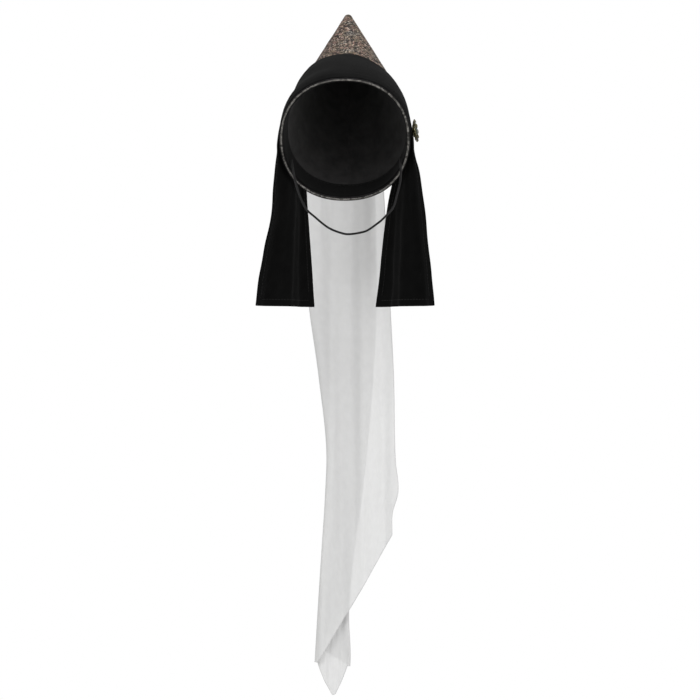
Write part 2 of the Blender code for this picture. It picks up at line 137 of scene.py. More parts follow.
# Elastic route below its ends: out from the middle as a share of the half width, down as a share
# of the chin drop, and front as a share of the chin front.
STRAP_ROUTE = (
    # out, down, front
    (-0.94, 0.47, 0.10),
    (-0.765, 0.705, 0.35),
    (-0.572, 0.813, 0.51),
    (-0.310, 0.929, 0.75),
    (-0.054, 0.989, 0.94),
    (0.100, 1.000, 1.00),
    (0.307, 0.982, 0.94),
    (0.443, 0.955, 0.86),
    (0.616, 0.886, 0.67),
    (0.711, 0.843, 0.57),
    (0.843, 0.769, 0.43),
    (0.935, 0.704, 0.31),
    (1.000, 0.590, 0.20),
    (1.080, 0.400, 0.00),
)

# Lines of the veil that run down it, as shares of its half width out from the tip's middle, by
# share of the drop: the free edge in front, three folds behind each other, the free edge behind.
VEIL_LINES = (
    # down, edge, left fold, right fold, inner fold, back edge
    (0.000, 0.078, -0.112, 0.073, -0.107, 0.063),
    (0.040, 0.233, -0.247, 0.203, -0.217, 0.173),
    (0.100, 0.483, -0.547, 0.373, -0.447, 0.333),
    (0.200, 0.753, -0.917, 0.573, -0.747, 0.493),
    (0.300, 0.873, -1.067, 0.653, -0.867, 0.493),
    (0.415, 0.973, -0.937, 0.673, -0.747, 0.433),
    (0.530, 1.063, -0.687, 0.593, -0.537, 0.353),
    (0.652, 1.103, -0.505, 0.423, -0.367, 0.213),
    (0.703, 1.153, -0.540, 0.333, -0.377, 0.133),
    (0.728, 1.038, -0.560, 0.283, -0.387, 0.093),
    (0.762, 1.023, -0.597, 0.203, -0.417, 0.033),
    (0.880, 0.983, -0.717, 0.023, -0.547, -0.127),
    (0.955, 0.933, -0.787, 0.053, -0.627, -0.167),
    (1.000, 0.883, -0.827, -0.047, -0.667, -0.187),
)

# Hem of the veil: how far down it is, as a share of the drop, by layers passed from the front.
VEIL_HEM = (
    # layers passed, down
    (0.00, 0.762),
    (1.00, 0.950),
    (1.10, 0.962),
    (1.30, 0.980),
    (1.60, 1.000),
    (1.70, 1.000),
    (1.87, 0.980),
    (2.00, 0.957),
    (3.00, 0.935),
    (4.00, 0.945),
)

LIGHTS = (
    # name, place, aim, size, share of the key light's power
    ("key_light", (-0.9, -1.9, 1.7), (0.0, 0.1, -0.1), 1.4, 1.00),
    ("fill_light", (1.7, -1.3, 0.4), (0.0, 0.1, -0.2), 1.2, 0.35),
    ("top_light", (0.1, 0.6, 1.9), (0.0, 0.1, 0.0), 1.2, 0.50),
)


# Colours and settings.

def from_hex(text):
    """Linear red, green and blue of an sRGB hex colour."""
    values = []
    for start in (1, 3, 5):
        value = int(text[start:start + 2], 16) / 255.0
        if value <= 0.04045:
            values.append(value / 12.92)
        else:
            values.append(((value + 0.055) / 1.055) ** 2.4)
    return tuple(values)


def length_setting(name, description, default):
    """Property for a length in metres."""
    return FloatProperty(name=name, description=description, default=default, unit="LENGTH",
                         precision=5)


def angle_setting(name, description, degrees):
    """Property for an angle, given in degrees."""
    return FloatProperty(name=name, description=description, default=math.radians(degrees),
                         subtype="ANGLE")


def share_setting(name, description, default):
    """Property for a plain number or share."""
    return FloatProperty(name=name, description=description, default=default, precision=3)


def colour_setting(name, description, text):
    """Property for a colour, given as an sRGB hex value."""
    return FloatVectorProperty(name=name, description=description, default=from_hex(text),
                               subtype="COLOR", size=3, min=0.0, max=1.0)


class HenninCone(bpy.types.PropertyGroup):
    """Sizes and colours of the cone."""

    rim_half_width: length_setting("Rim half width", "Half of the rim, side to side", 0.0820)
    rim_half_length: length_setting("Rim half length", "Half of the rim, brow to nape", 0.0985)
    rim_rise: angle_setting("Rim rise", "Slope that the rim faces, back and up", 45.0)
    rim_fullness: share_setting("Rim fullness", "2 is an oval, more is squarer", 2.2)
    length: length_setting("Length", "From the rim's middle to the tip", 0.300)
    rise: angle_setting("Rise", "Slope of the cone, back and up", 40.2)
    aside: length_setting("Aside", "How far the cone leans to the wearer's left", 0.0040)
    tuck: length_setting("Tuck", "How far the cone draws in at the rim", 0.0055)
    tuck_share: share_setting("Tuck share", "Share of the cone that draws in", 0.15)
    wall: length_setting("Wall", "Thickness of the stiffened cone", 0.0020)
    tip_radius: length_setting("Tip radius", "Radius of the blunt tip", 0.0055)
    motif: length_setting("Motif", "Size of the brocade's curling figure", 0.0070)
    thread: length_setting("Thread", "Spacing of the drawn metal threads", 0.0011)
    ground: colour_setting("Ground", "Dark ground of the brocade", "#17110E")
    gold: colour_setting("Gold thread", "Gold patches of the figure", "#8C7551")
    rose: colour_setting("Rose thread", "Rose patches of the figure", "#956555")
    grey: colour_setting("Grey thread", "Grey patches of the figure", "#736B62")
    # Painted glint: near-white colour laid on about one figure thread in fourteen, in place of light
    # caught by the metal.
    painted_glint: colour_setting("Glint", "Brightest metal threads", "#FFF4E6")
    lining: colour_setting("Lining", "Inside of the cone", "#2F2E2E")


class HenninFrontlet(bpy.types.PropertyGroup):
    """Sizes and colours of the frontlet and its lappets."""

    share: share_setting("Share", "Share of the cone covered at the top", 0.287)
    flare_right: share_setting("Flare right", "Extra cover at the wearer's right", 0.17)
    flare_left: share_setting("Flare left", "Extra cover at the wearer's left", 0.05)
    draw: share_setting("Draw", "Cover that is drawn towards the brooch", 0.085)
    draw_turns: angle_setting("Draw turns", "Turns over which it is drawn", 50.0)
    wall: length_setting("Wall", "Thickness of the doubled cloth", 0.0016)
    puff_right: length_setting("Puff right", "How far it stands off at the right", 0.0036)
    puff_left: length_setting("Puff left", "How far it stands off at the left", 0.0007)
    leaving: angle_setting("Leaving turn", "Turn where the lappets leave the cone", -9.0)
    edge_right: length_setting("Edge right", "Stand-off of the right front edge there", 0.0044)
    edge_left: length_setting("Edge left", "Stand-off of the left front edge there", 0.0058)
    edge_turns: angle_setting("Edge turns", "Turns over which the edge rises", 20.0)
    hem: length_setting("Hem", "Height of the lappets' hem", -0.211)
    hem_front_out: length_setting("Hem front out", "Front corner, outward", 0.114)
    hem_front_back: length_setting("Hem front back", "Front corner, backward", 0.020)
    hem_rear_out: length_setting("Hem rear out", "Rear corner, outward", 0.040)
    hem_rear_back: length_setting("Hem rear back", "Rear corner, backward", 0.106)
    wave: length_setting("Wave", "Depth of the lappets' soft folds", 0.0050)
    hem_width: length_setting("Hem width", "Width of the turned edge", 0.010)
    stitch: length_setting("Stitch", "Length of one stitch", 0.0030)
    cloth: colour_setting("Cloth", "Black cloth", "#080808")
    thread: colour_setting("Thread", "Sewing thread", "#101010")


class HenninRim(bpy.types.PropertyGroup):
    """Sizes and colours of the facing and the braid."""

    facing_share: share_setting("Facing share", "Share of the cone that is faced", 0.08)
    facing_wall: length_setting("Facing wall", "Thickness of the facing", 0.0010)
    braid_width: length_setting("Braid width", "Width of the braid", 0.0054)
    braid_thickness: length_setting("Braid thickness", "Thickness of the braid", 0.0030)
    braid_gap: length_setting("Braid gap", "Gap between rim and braid", 0.0005)
    plaits: IntProperty(name="Plaits", description="Repeats of the plait round the rim",
                        default=64, min=8)
    strand: length_setting("Strand", "Radius of a strand", 0.00058)
    edge_cord: length_setting("Edge cord", "Radius of a dark edge cord", 0.00055)
    silver: colour_setting("Silver", "Metal thread of the braid", "#706E6B")
    pewter: colour_setting("Pewter", "Dark metal thread of the braid", "#131213")
    facing: colour_setting("Facing", "Black facing cloth", "#0A0A0A")


class HenninBrooch(bpy.types.PropertyGroup):
    """Sizes and colours of the brooch."""

    turn: angle_setting("Turn", "Turn of the cone where it is pinned", 3.2)
    share: share_setting("Share", "Share of the cone where it is pinned", 0.036)
    to_front: angle_setting("To front", "How far it faces to the front", 15.0)
    to_top: angle_setting("To top", "How far it faces to the top", 8.0)
    half_height: length_setting("Half height", "Half of its height", 0.0140)
    half_width: length_setting("Half width", "Half of its width", 0.0115)
    stand: length_setting("Stand", "Space for the pin behind it", 0.0012)
    height: length_setting("Height", "Height of the stone's bezel", 0.0034)
    petals: IntProperty(name="Petals", description="Number of petals", default=10, min=5)
    stone_share: share_setting("Stone share", "Size of the middle stone", 0.36)
    wire: length_setting("Wire", "Radius of the petals' edging wire", 0.00038)
    gold: colour_setting("Gold", "Raised antique gold", "#A39C76")
    tarnish: colour_setting("Tarnish", "Dark in the hollows", "#1A1A10")


class HenninStrap(bpy.types.PropertyGroup):
    """Sizes and colours of the elastic."""

    radius: length_setting("Radius", "Radius of the elastic", 0.0014)
    turn: angle_setting("Turn", "Turn of the cone where it is sewn", -22.0)
    share: share_setting("Share", "Share of the cone where it is sewn", 0.03)
    chin_drop: length_setting("Chin drop", "How far it hangs below the rim's middle", 0.1233)
    chin_front: length_setting("Chin front", "How far it stands in front", 0.051)
    half_width: length_setting("Half width", "Half of its width below the rim", 0.0661)
    cord: colour_setting("Cord", "Black elastic", "#0B0A0B")


class HenninVeil(bpy.types.PropertyGroup):
    """Sizes and colours of the veil."""

    wall: length_setting("Wall", "Room that one layer takes", 0.0010)
    drop: length_setting("Drop", "From the tip to the lowest point", 0.9455)
    half_width: length_setting("Half width", "Half of its usual width", 0.060)
    layer_step: length_setting("Layer step", "Distance between layers", 0.0080)
    gather_step: length_setting("Gather step", "Distance between layers at the tip", 0.0019)
    wave: length_setting("Wave", "Depth of its folds", 0.0045)
    wave_length: length_setting("Wave length", "Width of its folds", 0.052)
    flat_width: length_setting("Flat width", "Width of the cut at the hem", 0.47)
    hem: length_setting("Hem", "Radius of the rolled hem", 0.0006)
    chiffon: colour_setting("Chiffon", "White chiffon", "#D7D7D7")
    cover: FloatProperty(name="Cover", description="Share that one layer covers",
                         default=0.88, min=0.0, max=1.0, subtype="FACTOR")


class HenninStage(bpy.types.PropertyGroup):
    """Camera, lights and floor."""

    camera_side: length_setting("Camera side", "Camera to the wearer's left", 0.0066)
    camera_front: length_setting("Camera front", "Camera in front of the rim", 2.606)
    camera_height: length_setting("Camera height", "Camera above the rim's middle", -0.2687)
    lens: FloatProperty(name="Lens", description="Focal length in millimetres", default=104.71)
    floor: length_setting("Floor", "Height of the floor", -1.50)
    floor_radius: length_setting("Floor radius", "Radius of the floor", 3.0)
    backdrop: share_setting("Backdrop", "Brightness that the camera sees behind", 1.0)
    room: share_setting("Room", "Soft light from all round", 0.62)
    key: share_setting("Key light", "Power of the large light in watts", 42.0)


SETTINGS = (
    ("hennin_cone", HenninCone),
    ("hennin_frontlet", HenninFrontlet),
    ("hennin_rim", HenninRim),
    ("hennin_brooch", HenninBrooch),
    ("hennin_strap", HenninStrap),
    ("hennin_veil", HenninVeil),
    ("hennin_stage", HenninStage),
)


# Small maths for points in rows.

def soft_step(value):
    """Share from 0 to 1 that starts and ends softly."""
    value = np.clip(value, 0.0, 1.0)
    return value * value * (3.0 - 2.0 * value)


def signed_power(value, exponent):
    """Power that keeps the sign."""
    return np.sign(value) * np.abs(value) ** exponent


def unit(vectors):
    """Vectors scaled to length 1."""
    lengths = np.linalg.norm(vectors, axis=-1, keepdims=True)
    return vectors / np.maximum(lengths, 1e-12)


def smooth_line(table, column, at):
    """Value of a table's column on a smooth curve through its rows."""
    places = np.array([row[0] for row in table])
    values = np.array([row[column] for row in table])
    slopes = np.gradient(values, places)
    at = np.clip(at, places[0], places[-1])
    low = np.clip(np.searchsorted(places, at, side="right") - 1, 0, len(places) - 2)
    span = places[low + 1] - places[low]
    t = (at - places[low]) / span
    return ((1.0 + 2.0 * t) * (1.0 - t) ** 2 * values[low]
            + t * (1.0 - t) ** 2 * span * slopes[low]
            + t * t * (3.0 - 2.0 * t) * values[low + 1]
            + t * t * (t - 1.0) * span * slopes[low + 1])


def smooth_route(points, steps):
    """Points of a smooth curve through the given ones."""
    points = np.asarray(points, float)
    padded = np.vstack([2 * points[0] - points[1], points, 2 * points[-1] - points[-2]])
    route = []
    for index in range(1, len(padded) - 2):
        before, start, end, after = padded[index - 1:index + 3]
        for step in range(steps):
            t = step / steps
            route.append(0.5 * (2 * start + (end - before) * t
                                + (2 * before - 5 * start + 4 * end - after) * t ** 2
                                + (3 * start - before - 3 * end + after) * t ** 3))
    route.append(points[-1])
    return np.array(route)


def lengths_along(points):
    """Distance along a row of points, from its first."""
    steps = np.linalg.norm(np.diff(points, axis=0), axis=-1)
    return np.concatenate([np.zeros((1,) + steps.shape[1:]), np.cumsum(steps, axis=0)])


def at_lengths(wanted, along, line):
    """Points of a line at wanted distances along it."""
    return np.stack([np.interp(wanted, along, line[:, axis]) for axis in range(3)], axis=-1)


def evenly_spaced(points, count):
    """Points at equal distances along a row of points."""
    along = lengths_along(points)
    return at_lengths(np.linspace(0.0, along[-1], count), along, points)


def round_angles(count):
    """Angles at equal steps round a circle."""
    return np.linspace(0.0, math.tau, count, endpoint=False)


def oval_ring(angles, half_across, half_up, height, middle=(0.0, 0.0)):
    """Oval of points about a middle, at a height."""
    return np.stack(np.broadcast_arrays(
        middle[0] + half_across * np.cos(angles),
        middle[1] + half_up * np.sin(angles),
        height,
    ), axis=-1)


def ripple(points, depth, size, seed):
    """Soft noise up to a depth either way, with features of about the given size."""
    flat = points.reshape(-1, 3) / size + seed
    values = [noise.noise(Vector(point)) for point in flat]
    return depth * np.array(values).reshape(points.shape[:-1])


# The cone's surface. A turn goes round it, 0 at the wearer's left and a quarter at the top, and a
# share goes along it from the rim to the tip.

def rise_direction(rise):
    """Direction that points back and up at a rise."""
    return np.array([0.0, math.cos(rise), math.sin(rise)])


def cone_points(turn, share):
    """Points on the outside of the cone."""
    cone = bpy.context.scene.hennin_cone
    turn, share = np.broadcast_arrays(np.asarray(turn, float), np.asarray(share, float))
    tucked = np.maximum(0.0, 1.0 - share / cone.tuck_share) ** 2
    half_width = cone.rim_half_width + cone.tuck
    half_width = half_width + (cone.tip_radius - half_width) * share - cone.tuck * tucked
    half_length = cone.rim_half_length + cone.tuck
    half_length = half_length + (cone.tip_radius - half_length) * share - cone.tuck * tucked
    exponent = 2.0 / (cone.rim_fullness + (2.0 - cone.rim_fullness) * share)
    slope = cone.rim_rise + (cone.rise - cone.rim_rise) * share
    up = half_length * signed_power(np.sin(turn), exponent)
    along = cone.length * share
    return np.stack([
        cone.aside * (1.0 - tucked) + half_width * signed_power(np.cos(turn), exponent),
        along * math.cos(cone.rise) - up * np.sin(slope),
        along * math.sin(cone.rise) + up * np.cos(slope),
    ], axis=-1)


def cone_normals(turn, share):
    """Outward directions of the cone's surface."""
    turn, share = np.broadcast_arrays(np.asarray(turn, float), np.asarray(share, float))
    round_it = cone_points(turn + TURN_STEP, share) - cone_points(turn - TURN_STEP, share)
    low = np.maximum(share - SHARE_STEP, 0.0)
    high = np.minimum(share + SHARE_STEP, 1.0)
    along_it = cone_points(turn, high) - cone_points(turn, low)
    return unit(np.cross(along_it, round_it))


def off_cone(turn, share, lift):
    """Points off the cone's surface by a lift."""
    turn, share, lift = np.broadcast_arrays(turn, share, lift)
    return cone_points(turn, share) + cone_normals(turn, share) * lift[..., None]


def tip_middle():
    """Middle of the blunt tip."""
    cone = bpy.context.scene.hennin_cone
    return rise_direction(cone.rise) * cone.length + np.array([cone.aside, 0.0, 0.0])


# Mesh building. A part is a pair: its points and its faces.

def grid_part(grid, closed_rows=False, closed_columns=False, caps=False):
    """Quads over a grid of points. Caps close its first and last rows."""
    rows, columns = grid.shape[:2]
    faces = []
    for row in range(rows if closed_rows else rows - 1):
        for column in range(columns if closed_columns else columns - 1):
            next_row = (row + 1) % rows
            next_column = (column + 1) % columns
            faces.append((row * columns + column, next_row * columns + column,
                          next_row * columns + next_column, row * columns + next_column))
    if caps:
        faces.append(tuple(range(columns)))
        faces.append(tuple((rows - 1) * columns + column for column in range(columns)))
    return grid.reshape(-1, 3), faces


def tube_part(path, radius, sides, closed=False, flat=1.0, upright=None, relief=None):
    """Tube along a path. Relief gives the radius's share by distance along and angle round."""
    path = np.asarray(path, float)
    count = len(path)
    if closed:
        forward = unit(np.roll(path, -1, axis=0) - np.roll(path, 1, axis=0))
    else:
        forward = unit(np.gradient(path, axis=0))
    if upright is None:
        side = np.cross(forward[0], (0.0, 0.0, 1.0))
        if np.linalg.norm(side) < 0.1:
            side = np.cross(forward[0], (0.0, 1.0, 0.0))
        sideways = [side / np.linalg.norm(side)]
        for index in range(1, count):
            carried = sideways[-1] - forward[index] * np.dot(sideways[-1], forward[index])
            sideways.append(carried / np.linalg.norm(carried))
        sideways = np.array(sideways)
    else:
        sideways = unit(np.cross(forward, upright))
    upward = np.cross(sideways, forward)
    angles = round_angles(sides)
    radii = np.broadcast_to(np.asarray(radius, float), (count,))[:, None] * np.ones(sides)
    if relief is not None:
        radii = radii * relief(lengths_along(path)[:, None], angles[None, :])
    rings = (path[:, None, :]
             + sideways[:, None, :] * (radii * np.cos(angles))[..., None]
             + upward[:, None, :] * (radii * flat * np.sin(angles))[..., None])
    return grid_part(rings, closed_rows=closed, closed_columns=True, caps=not closed)


def bead_part(middle, radius, sides=12, rings=7):
    """Round bead."""
    polar = np.linspace(0.06, math.pi - 0.06, rings)[:, None]
    angles = round_angles(sides)[None, :]
    ball = np.stack([
        np.sin(polar) * np.cos(angles),
        np.sin(polar) * np.sin(angles),
        np.cos(polar) * np.ones_like(angles),
    ], axis=-1)
    return grid_part(np.asarray(middle) + radius * ball, closed_columns=True, caps=True)


def grid_normals(grid, closed_columns=False):
    """Directions square to a grid of points: the way down its rows crossed with that across."""
    down = np.gradient(grid, axis=0)
    if closed_columns:
        across = np.roll(grid, -1, axis=1) - np.roll(grid, 1, axis=1)
    else:
        across = np.gradient(grid, axis=1)
    return unit(np.cross(down, across))


def border_loops(rows, columns, closed_columns):
    """Grid places round the border of a grid, in order."""
    if closed_columns:
        return [[(row, column) for column in range(columns)] for row in (0, rows - 1)]
    loop = [(0, column) for column in range(columns)]
    loop += [(row, columns - 1) for row in range(1, rows)]
    loop += [(rows - 1, column) for column in range(columns - 2, -1, -1)]
    loop += [(row, 0) for row in range(rows - 2, 0, -1)]
    return [loop]


def flat_layout(grid):
    """Places of a cloth's points when it lies flat: across and down, in metres."""
    return np.stack([lengths_along(np.swapaxes(grid, 0, 1)).T, lengths_along(grid)], axis=-1)


def new_mesh(name, points, faces):
    """Mesh with the given points and faces."""
    mesh = bpy.data.meshes.new(name)
    mesh.from_pydata(np.asarray(points).tolist(), [], faces)
    return mesh


def linked(name, data):
    """Object in the scene with the given data."""
    thing = bpy.data.objects.new(name, data)
    bpy.context.scene.collection.objects.link(thing)
    return thing


def show(name, mesh, materials):
    """Object in the scene that rides on the hat."""
    for material in materials:
        mesh.materials.append(material)
    thing = linked(name, mesh)
    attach(thing, "root")
    return thing


def map_cloth(mesh, corners):
    """Map each corner of a mesh's faces to its place on the flat cloth."""
    layer = mesh.uv_layers.new(name=CLOTH_MAP)
    layer.data.foreach_set("uv", np.asarray(corners).ravel())


def face_outward(mesh):
    """Turn a closed mesh's faces to the outside."""
    work = bmesh.new()
    work.from_mesh(mesh)
    bmesh.ops.recalc_face_normals(work, faces=work.faces)
    work.to_mesh(mesh)
    work.free()


def cloth_object(name, grid, wall, materials, flat, closed_columns=False):
    """Cloth with a thickness and rounded edges, and a map of where its points lie flat.

    The grid is the cloth's middle. The first material is for its outside, the last for the rest.
    """
    rows, columns = grid.shape[:2]
    count = rows * columns
    normals = grid_normals(grid, closed_columns)
    half = 0.5 * np.broadcast_to(np.asarray(wall, float), (rows, columns))[..., None]
    points = [(grid + normals * half).reshape(-1, 3), (grid - normals * half).reshape(-1, 3)]
    faces = []
    places = []
    slots = []

    def add_face(face, corners, slot, turned):
        """Add a face with its grid places, turned over for the inside."""
        faces.append(tuple(reversed(face)) if turned else tuple(face))
        places.append(tuple(reversed(corners)) if turned else corners)
        slots.append(slot)

    inside_slot = len(materials) - 1
    for row in range(rows - 1):
        for column in range(columns if closed_columns else columns - 1):
            corners = ((row, column), (row + 1, column), (row + 1, column + 1),
                       (row, column + 1))
            ids = [r * columns + c % columns for r, c in corners]
            add_face(ids, corners, 0, False)
            add_face([count + index for index in ids], corners, inside_slot, True)
    start = 2 * count
    for loop in border_loops(rows, columns, closed_columns):
        edge = []
        for row, column in loop:
            inner_row = min(max(row, 1), rows - 2)
            inner_column = column if closed_columns else min(max(column, 1), columns - 2)
            away = grid[row, column] - grid[inner_row, inner_column]
            away = away / max(np.linalg.norm(away), 1e-9)
            edge.append(grid[row, column] + away * half[row, column] * EDGE_ROUNDING)
        points.append(np.array(edge))
        for index, here in enumerate(loop):
            following = (index + 1) % len(loop)
            there = loop[following]
            first = here[0] * columns + here[1]
            second = there[0] * columns + there[1]
            for offset in (0, count):
                add_face((offset + first, offset + second, start + following, start + index),
                         (here, there, there, here), inside_slot, offset > 0)
        start += len(loop)
    mesh = new_mesh(name, np.vstack(points), faces)
    map_cloth(mesh, [flat[row, column] for face in places for row, column in face])
    mesh.polygons.foreach_set("material_index", slots)
    face_outward(mesh)
    mesh.shade_smooth()
    return show(name, mesh, materials)


def parts_object(name, parts, material):
    """Object made of several parts."""
    points = []
    faces = []
    for part_points, part_faces in parts:
        start = len(points)
        points.extend(np.asarray(part_points).tolist())
        faces.extend(tuple(start + index for index in face) for face in part_faces)
    mesh = new_mesh(name, points, faces)
    face_outward(mesh)
    mesh.shade_smooth()
    mesh.set_sharp_from_angle(angle=math.radians(50.0))
    return show(name, mesh, [material])


def stitch_parts(route, outward, stitch, radius):
    """Row of short stitches that lie along a route, raised a little in the middle."""
    along = lengths_along(route)
    pitch = 1.45 * stitch
    parts = []
    for start in np.arange(0.5 * stitch, along[-1] - stitch, pitch):
        path = []
        for share, raised in ((0.0, -0.6), (0.2, 0.5), (0.8, 0.5), (1.0, -0.6)):
            at = start + stitch * share
            path.append(at_lengths(at, along, route)
                        + at_lengths(at, along, outward) * radius * raised)
        parts.append(tube_part(path, radius, 6))
    return parts


# Materials.

def add_node(tree, kind, inputs=None, stops=None, **settings):
    """Add a node, give it its settings, and set or link its inputs."""
    node = tree.nodes.new(kind)
    for name, value in settings.items():
        setattr(node, name, value)
    for name, value in (inputs or {}).items():
        if isinstance(value, bpy.types.NodeSocket):
            tree.links.new(value, node.inputs[name])
        else:
            node.inputs[name].default_value = value
    if stops:
        ramp = node.color_ramp.elements
        while len(ramp) < len(stops):
            ramp.new(0.5)
        for element, (position, colour) in zip(ramp, stops):
            element.position = position
            element.color = (*colour, 1.0)
    return node


def new_material(name, shader_inputs):
    """Material with one Principled shader."""
    material = bpy.data.materials.new(name)
    material.use_nodes = True
    tree = material.node_tree
    tree.nodes.clear()
    shader = add_node(tree, "ShaderNodeBsdfPrincipled", shader_inputs)
    add_node(tree, "ShaderNodeOutputMaterial", {"Surface": shader.outputs["BSDF"]})
    return material, tree, shader


def millimetres(tree, on_cloth):
    """Place in millimetres, on the flat cloth or else in the hat's own frame."""
    if on_cloth:
        place = add_node(tree, "ShaderNodeUVMap", uv_map=CLOTH_MAP).outputs["UV"]
    else:
        place = add_node(tree, "ShaderNodeTexCoord").outputs["Object"]
    return add_node(tree, "ShaderNodeVectorMath", {0: place, 1: (MILLIMETRES,) * 3},
                    operation="MULTIPLY").outputs[0]


def soft_noise(tree, place, size, detail=2.0, roughness=0.5, distortion=0.0):
    """Noise with features of a size in millimetres."""
    return add_node(tree, "ShaderNodeTexNoise", {
        "Vector": place, "Scale": 1.0 / size, "Detail": detail, "Roughness": roughness,
        "Distortion": distortion,
    }).outputs["Fac"]


def cells(tree, place, size, randomness=1.0, **settings):
    """Three random shares for each cell of a size in millimetres, and the distance to its middle."""
    node = add_node(tree, "ShaderNodeTexVoronoi", {
        "Vector": place, "Scale": 1.0 / size, "Randomness": randomness,
    }, **settings)
    split = add_node(tree, "ShaderNodeSeparateColor", {"Color": node.outputs["Color"]})
    return [*split.outputs, node.outputs["Distance"]]


def worked_out(tree, operation, *values):
    """Result of a maths operation."""
    return add_node(tree, "ShaderNodeMath", dict(enumerate(values)),
                    operation=operation).outputs[0]


def spread(tree, value, low, high, start=0.0, end=1.0, interpolation="LINEAR"):
    """Value carried from the range start to end over to the range low to high."""
    return add_node(tree, "ShaderNodeMapRange", {
        "Value": value, "From Min": start, "From Max": end, "To Min": low, "To Max": high,
    }, interpolation_type=interpolation).outputs[0]


def tinted(tree, colour, share):
    """Colour made lighter or darker by a share."""
    return add_node(tree, "ShaderNodeVectorMath", {0: colour, "Scale": share},
                    operation="SCALE").outputs[0]


def ramped(tree, share, stops):
    """Colour at a share, between stops of (share, colour)."""
    return add_node(tree, "ShaderNodeValToRGB", {"Fac": share}, stops).outputs["Color"]


def mixed(tree, share, first, second):
    """Colour between two colours."""
    return add_node(tree, "ShaderNodeMix", {"Factor": share, 6: first, 7: second},
                    data_type="RGBA").outputs[2]


def finish_surface(tree, shader, links, height, strength, depth):
    """Link the shader's inputs, and raise the surface by a height times a depth in metres."""
    bump = add_node(tree, "ShaderNodeBump", {
        "Height": height, "Strength": strength, "Distance": depth,
    })
    for name, value in {**links, "Normal": bump.outputs["Normal"]}.items():
        tree.links.new(value, shader.inputs[name])


def brocade_material():
    """Metallic brocade, jacquard woven.

    A dark ground shows between curling figures of lurex, which change from gold to rose to grey
    over a few centimetres. About one figure thread in fourteen is painted near white as a painted
    glint.
    """
    cone = bpy.context.scene.hennin_cone
    material, tree, shader = new_material("lurex_brocade", {
        "IOR": 1.5, "Specular IOR Level": 0.2,
    })
    place = millimetres(tree, True)
    # Contour lines of a soft noise curl like the woven figure. 24 radians over the noise's range
    # puts its lines about 2.5 mm apart.
    field = soft_noise(tree, place, cone.motif * MILLIMETRES, detail=0.6, distortion=0.5)
    curl = worked_out(tree, "SINE", worked_out(tree, "MULTIPLY", field, 24.0))
    # A second noise, 2.6 mm across, breaks the lines into short curls.
    breaks = soft_noise(tree, place, 2.6, detail=0.0)
    parted = worked_out(tree, "MULTIPLY_ADD", breaks, 3.2, curl)
    figure = spread(tree, parted, 0.0, 1.0, start=2.00, end=2.34, interpolation="SMOOTHSTEP")
    # Real lurex threads lie 0.3 mm apart. They are drawn 1.1 mm apart so that each glint shows.
    tone, painted_glint, rise, away = cells(tree, place, cone.thread * MILLIMETRES, 0.9,
                                    voronoi_dimensions="2D")
    patches = soft_noise(tree, place, 26.0, roughness=0.6)
    grey, gold, rose = tuple(cone.grey), tuple(cone.gold), tuple(cone.rose)
    patch = ramped(tree, patches, (
        (0.34, grey), (0.44, gold), (0.54, rose), (0.62, gold), (0.70, grey),
    ))
    thread = tinted(tree, patch, spread(tree, tone, 0.35, 1.35))
    woven = mixed(tree, figure, (*cone.ground, 1.0), thread)
    # Painted glint: about one figure thread in fourteen gets the near-white glint colour, in place of
    # light that it catches.
    bright = worked_out(tree, "GREATER_THAN", painted_glint, 0.93)
    painted_glint_threads = worked_out(tree, "MULTIPLY", bright, figure)
    height = worked_out(tree, "MULTIPLY_ADD", figure, rise, away)
    # The figure stands 0.25 mm above the ground.
    finish_surface(tree, shader, {
        "Base Color": mixed(tree, painted_glint_threads, woven, (*cone.painted_glint, 1.0)),
        "Metallic": worked_out(tree, "MULTIPLY", figure, 0.6),
        "Roughness": spread(tree, figure, 0.8, 0.38),
    }, height, strength=0.8, depth=0.00025)
    return material


def woven_material(name, colour, thread_mm, roughness, shine, sheen, ribs=False):
    """Plain black cloth, woven.

    Warp and weft cross as fine ribs, some threads thicker than others, and the nap lightens a
    little where it is brushed.
    """
    material, tree, shader = new_material(name, {
        "IOR": 1.5, "Roughness": roughness, "Specular IOR Level": shine,
        "Sheen Weight": sheen, "Sheen Roughness": 0.5,
    })
    place = millimetres(tree, True)
    nap = soft_noise(tree, place, 18.0, detail=4.0, roughness=0.6)
    threads = [add_node(tree, "ShaderNodeTexWave", {
        "Vector": place, "Scale": 0.314 / thread_mm, "Distortion": 0.6, "Detail": 1.0,
        "Detail Scale": 0.2,
    }, bands_direction=bands).outputs["Fac"] for bands in ("X", "DIAGONAL" if ribs else "Y")]
    # Threads stand 0.1 mm proud.
    finish_surface(tree, shader, {
        "Base Color": tinted(tree, tuple(colour), spread(tree, nap, 0.72, 1.30, *NOISE_RANGE)),
    }, worked_out(tree, "MULTIPLY", *threads), strength=0.7, depth=0.0001)
    return material


def thread_material(name):
    """Black sewing thread, twisted and matt."""
    band = bpy.context.scene.hennin_frontlet
    return woven_material(name, band.thread, thread_mm=0.4, roughness=0.6, shine=0.3, sheen=0.0)


def metal_thread_material(name, colour, roughness):
    """Lurex-wrapped braid thread: a fine strip of metal wound on a core.

    Its colour is painted lighter and darker about 3 mm at a time, so that bright and dark dashes run
    along it: painted glints and painted shade where the real thread catches the light.
    """
    material, tree, shader = new_material(name, {"Metallic": 0.75})
    tone, gloss, _, away = cells(tree, millimetres(tree, False), 3.0)
    finish_surface(tree, shader, {
        # Painted glints and painted shade: each 3 mm cell scales the thread's colour from a quarter
        # to nearly twice.
        "Base Color": tinted(tree, tuple(colour), spread(tree, tone, 0.25, 1.9)),
        "Roughness": spread(tree, gloss, roughness - 0.1, roughness + 0.15),
    }, away, strength=0.8, depth=0.0002)
    return material


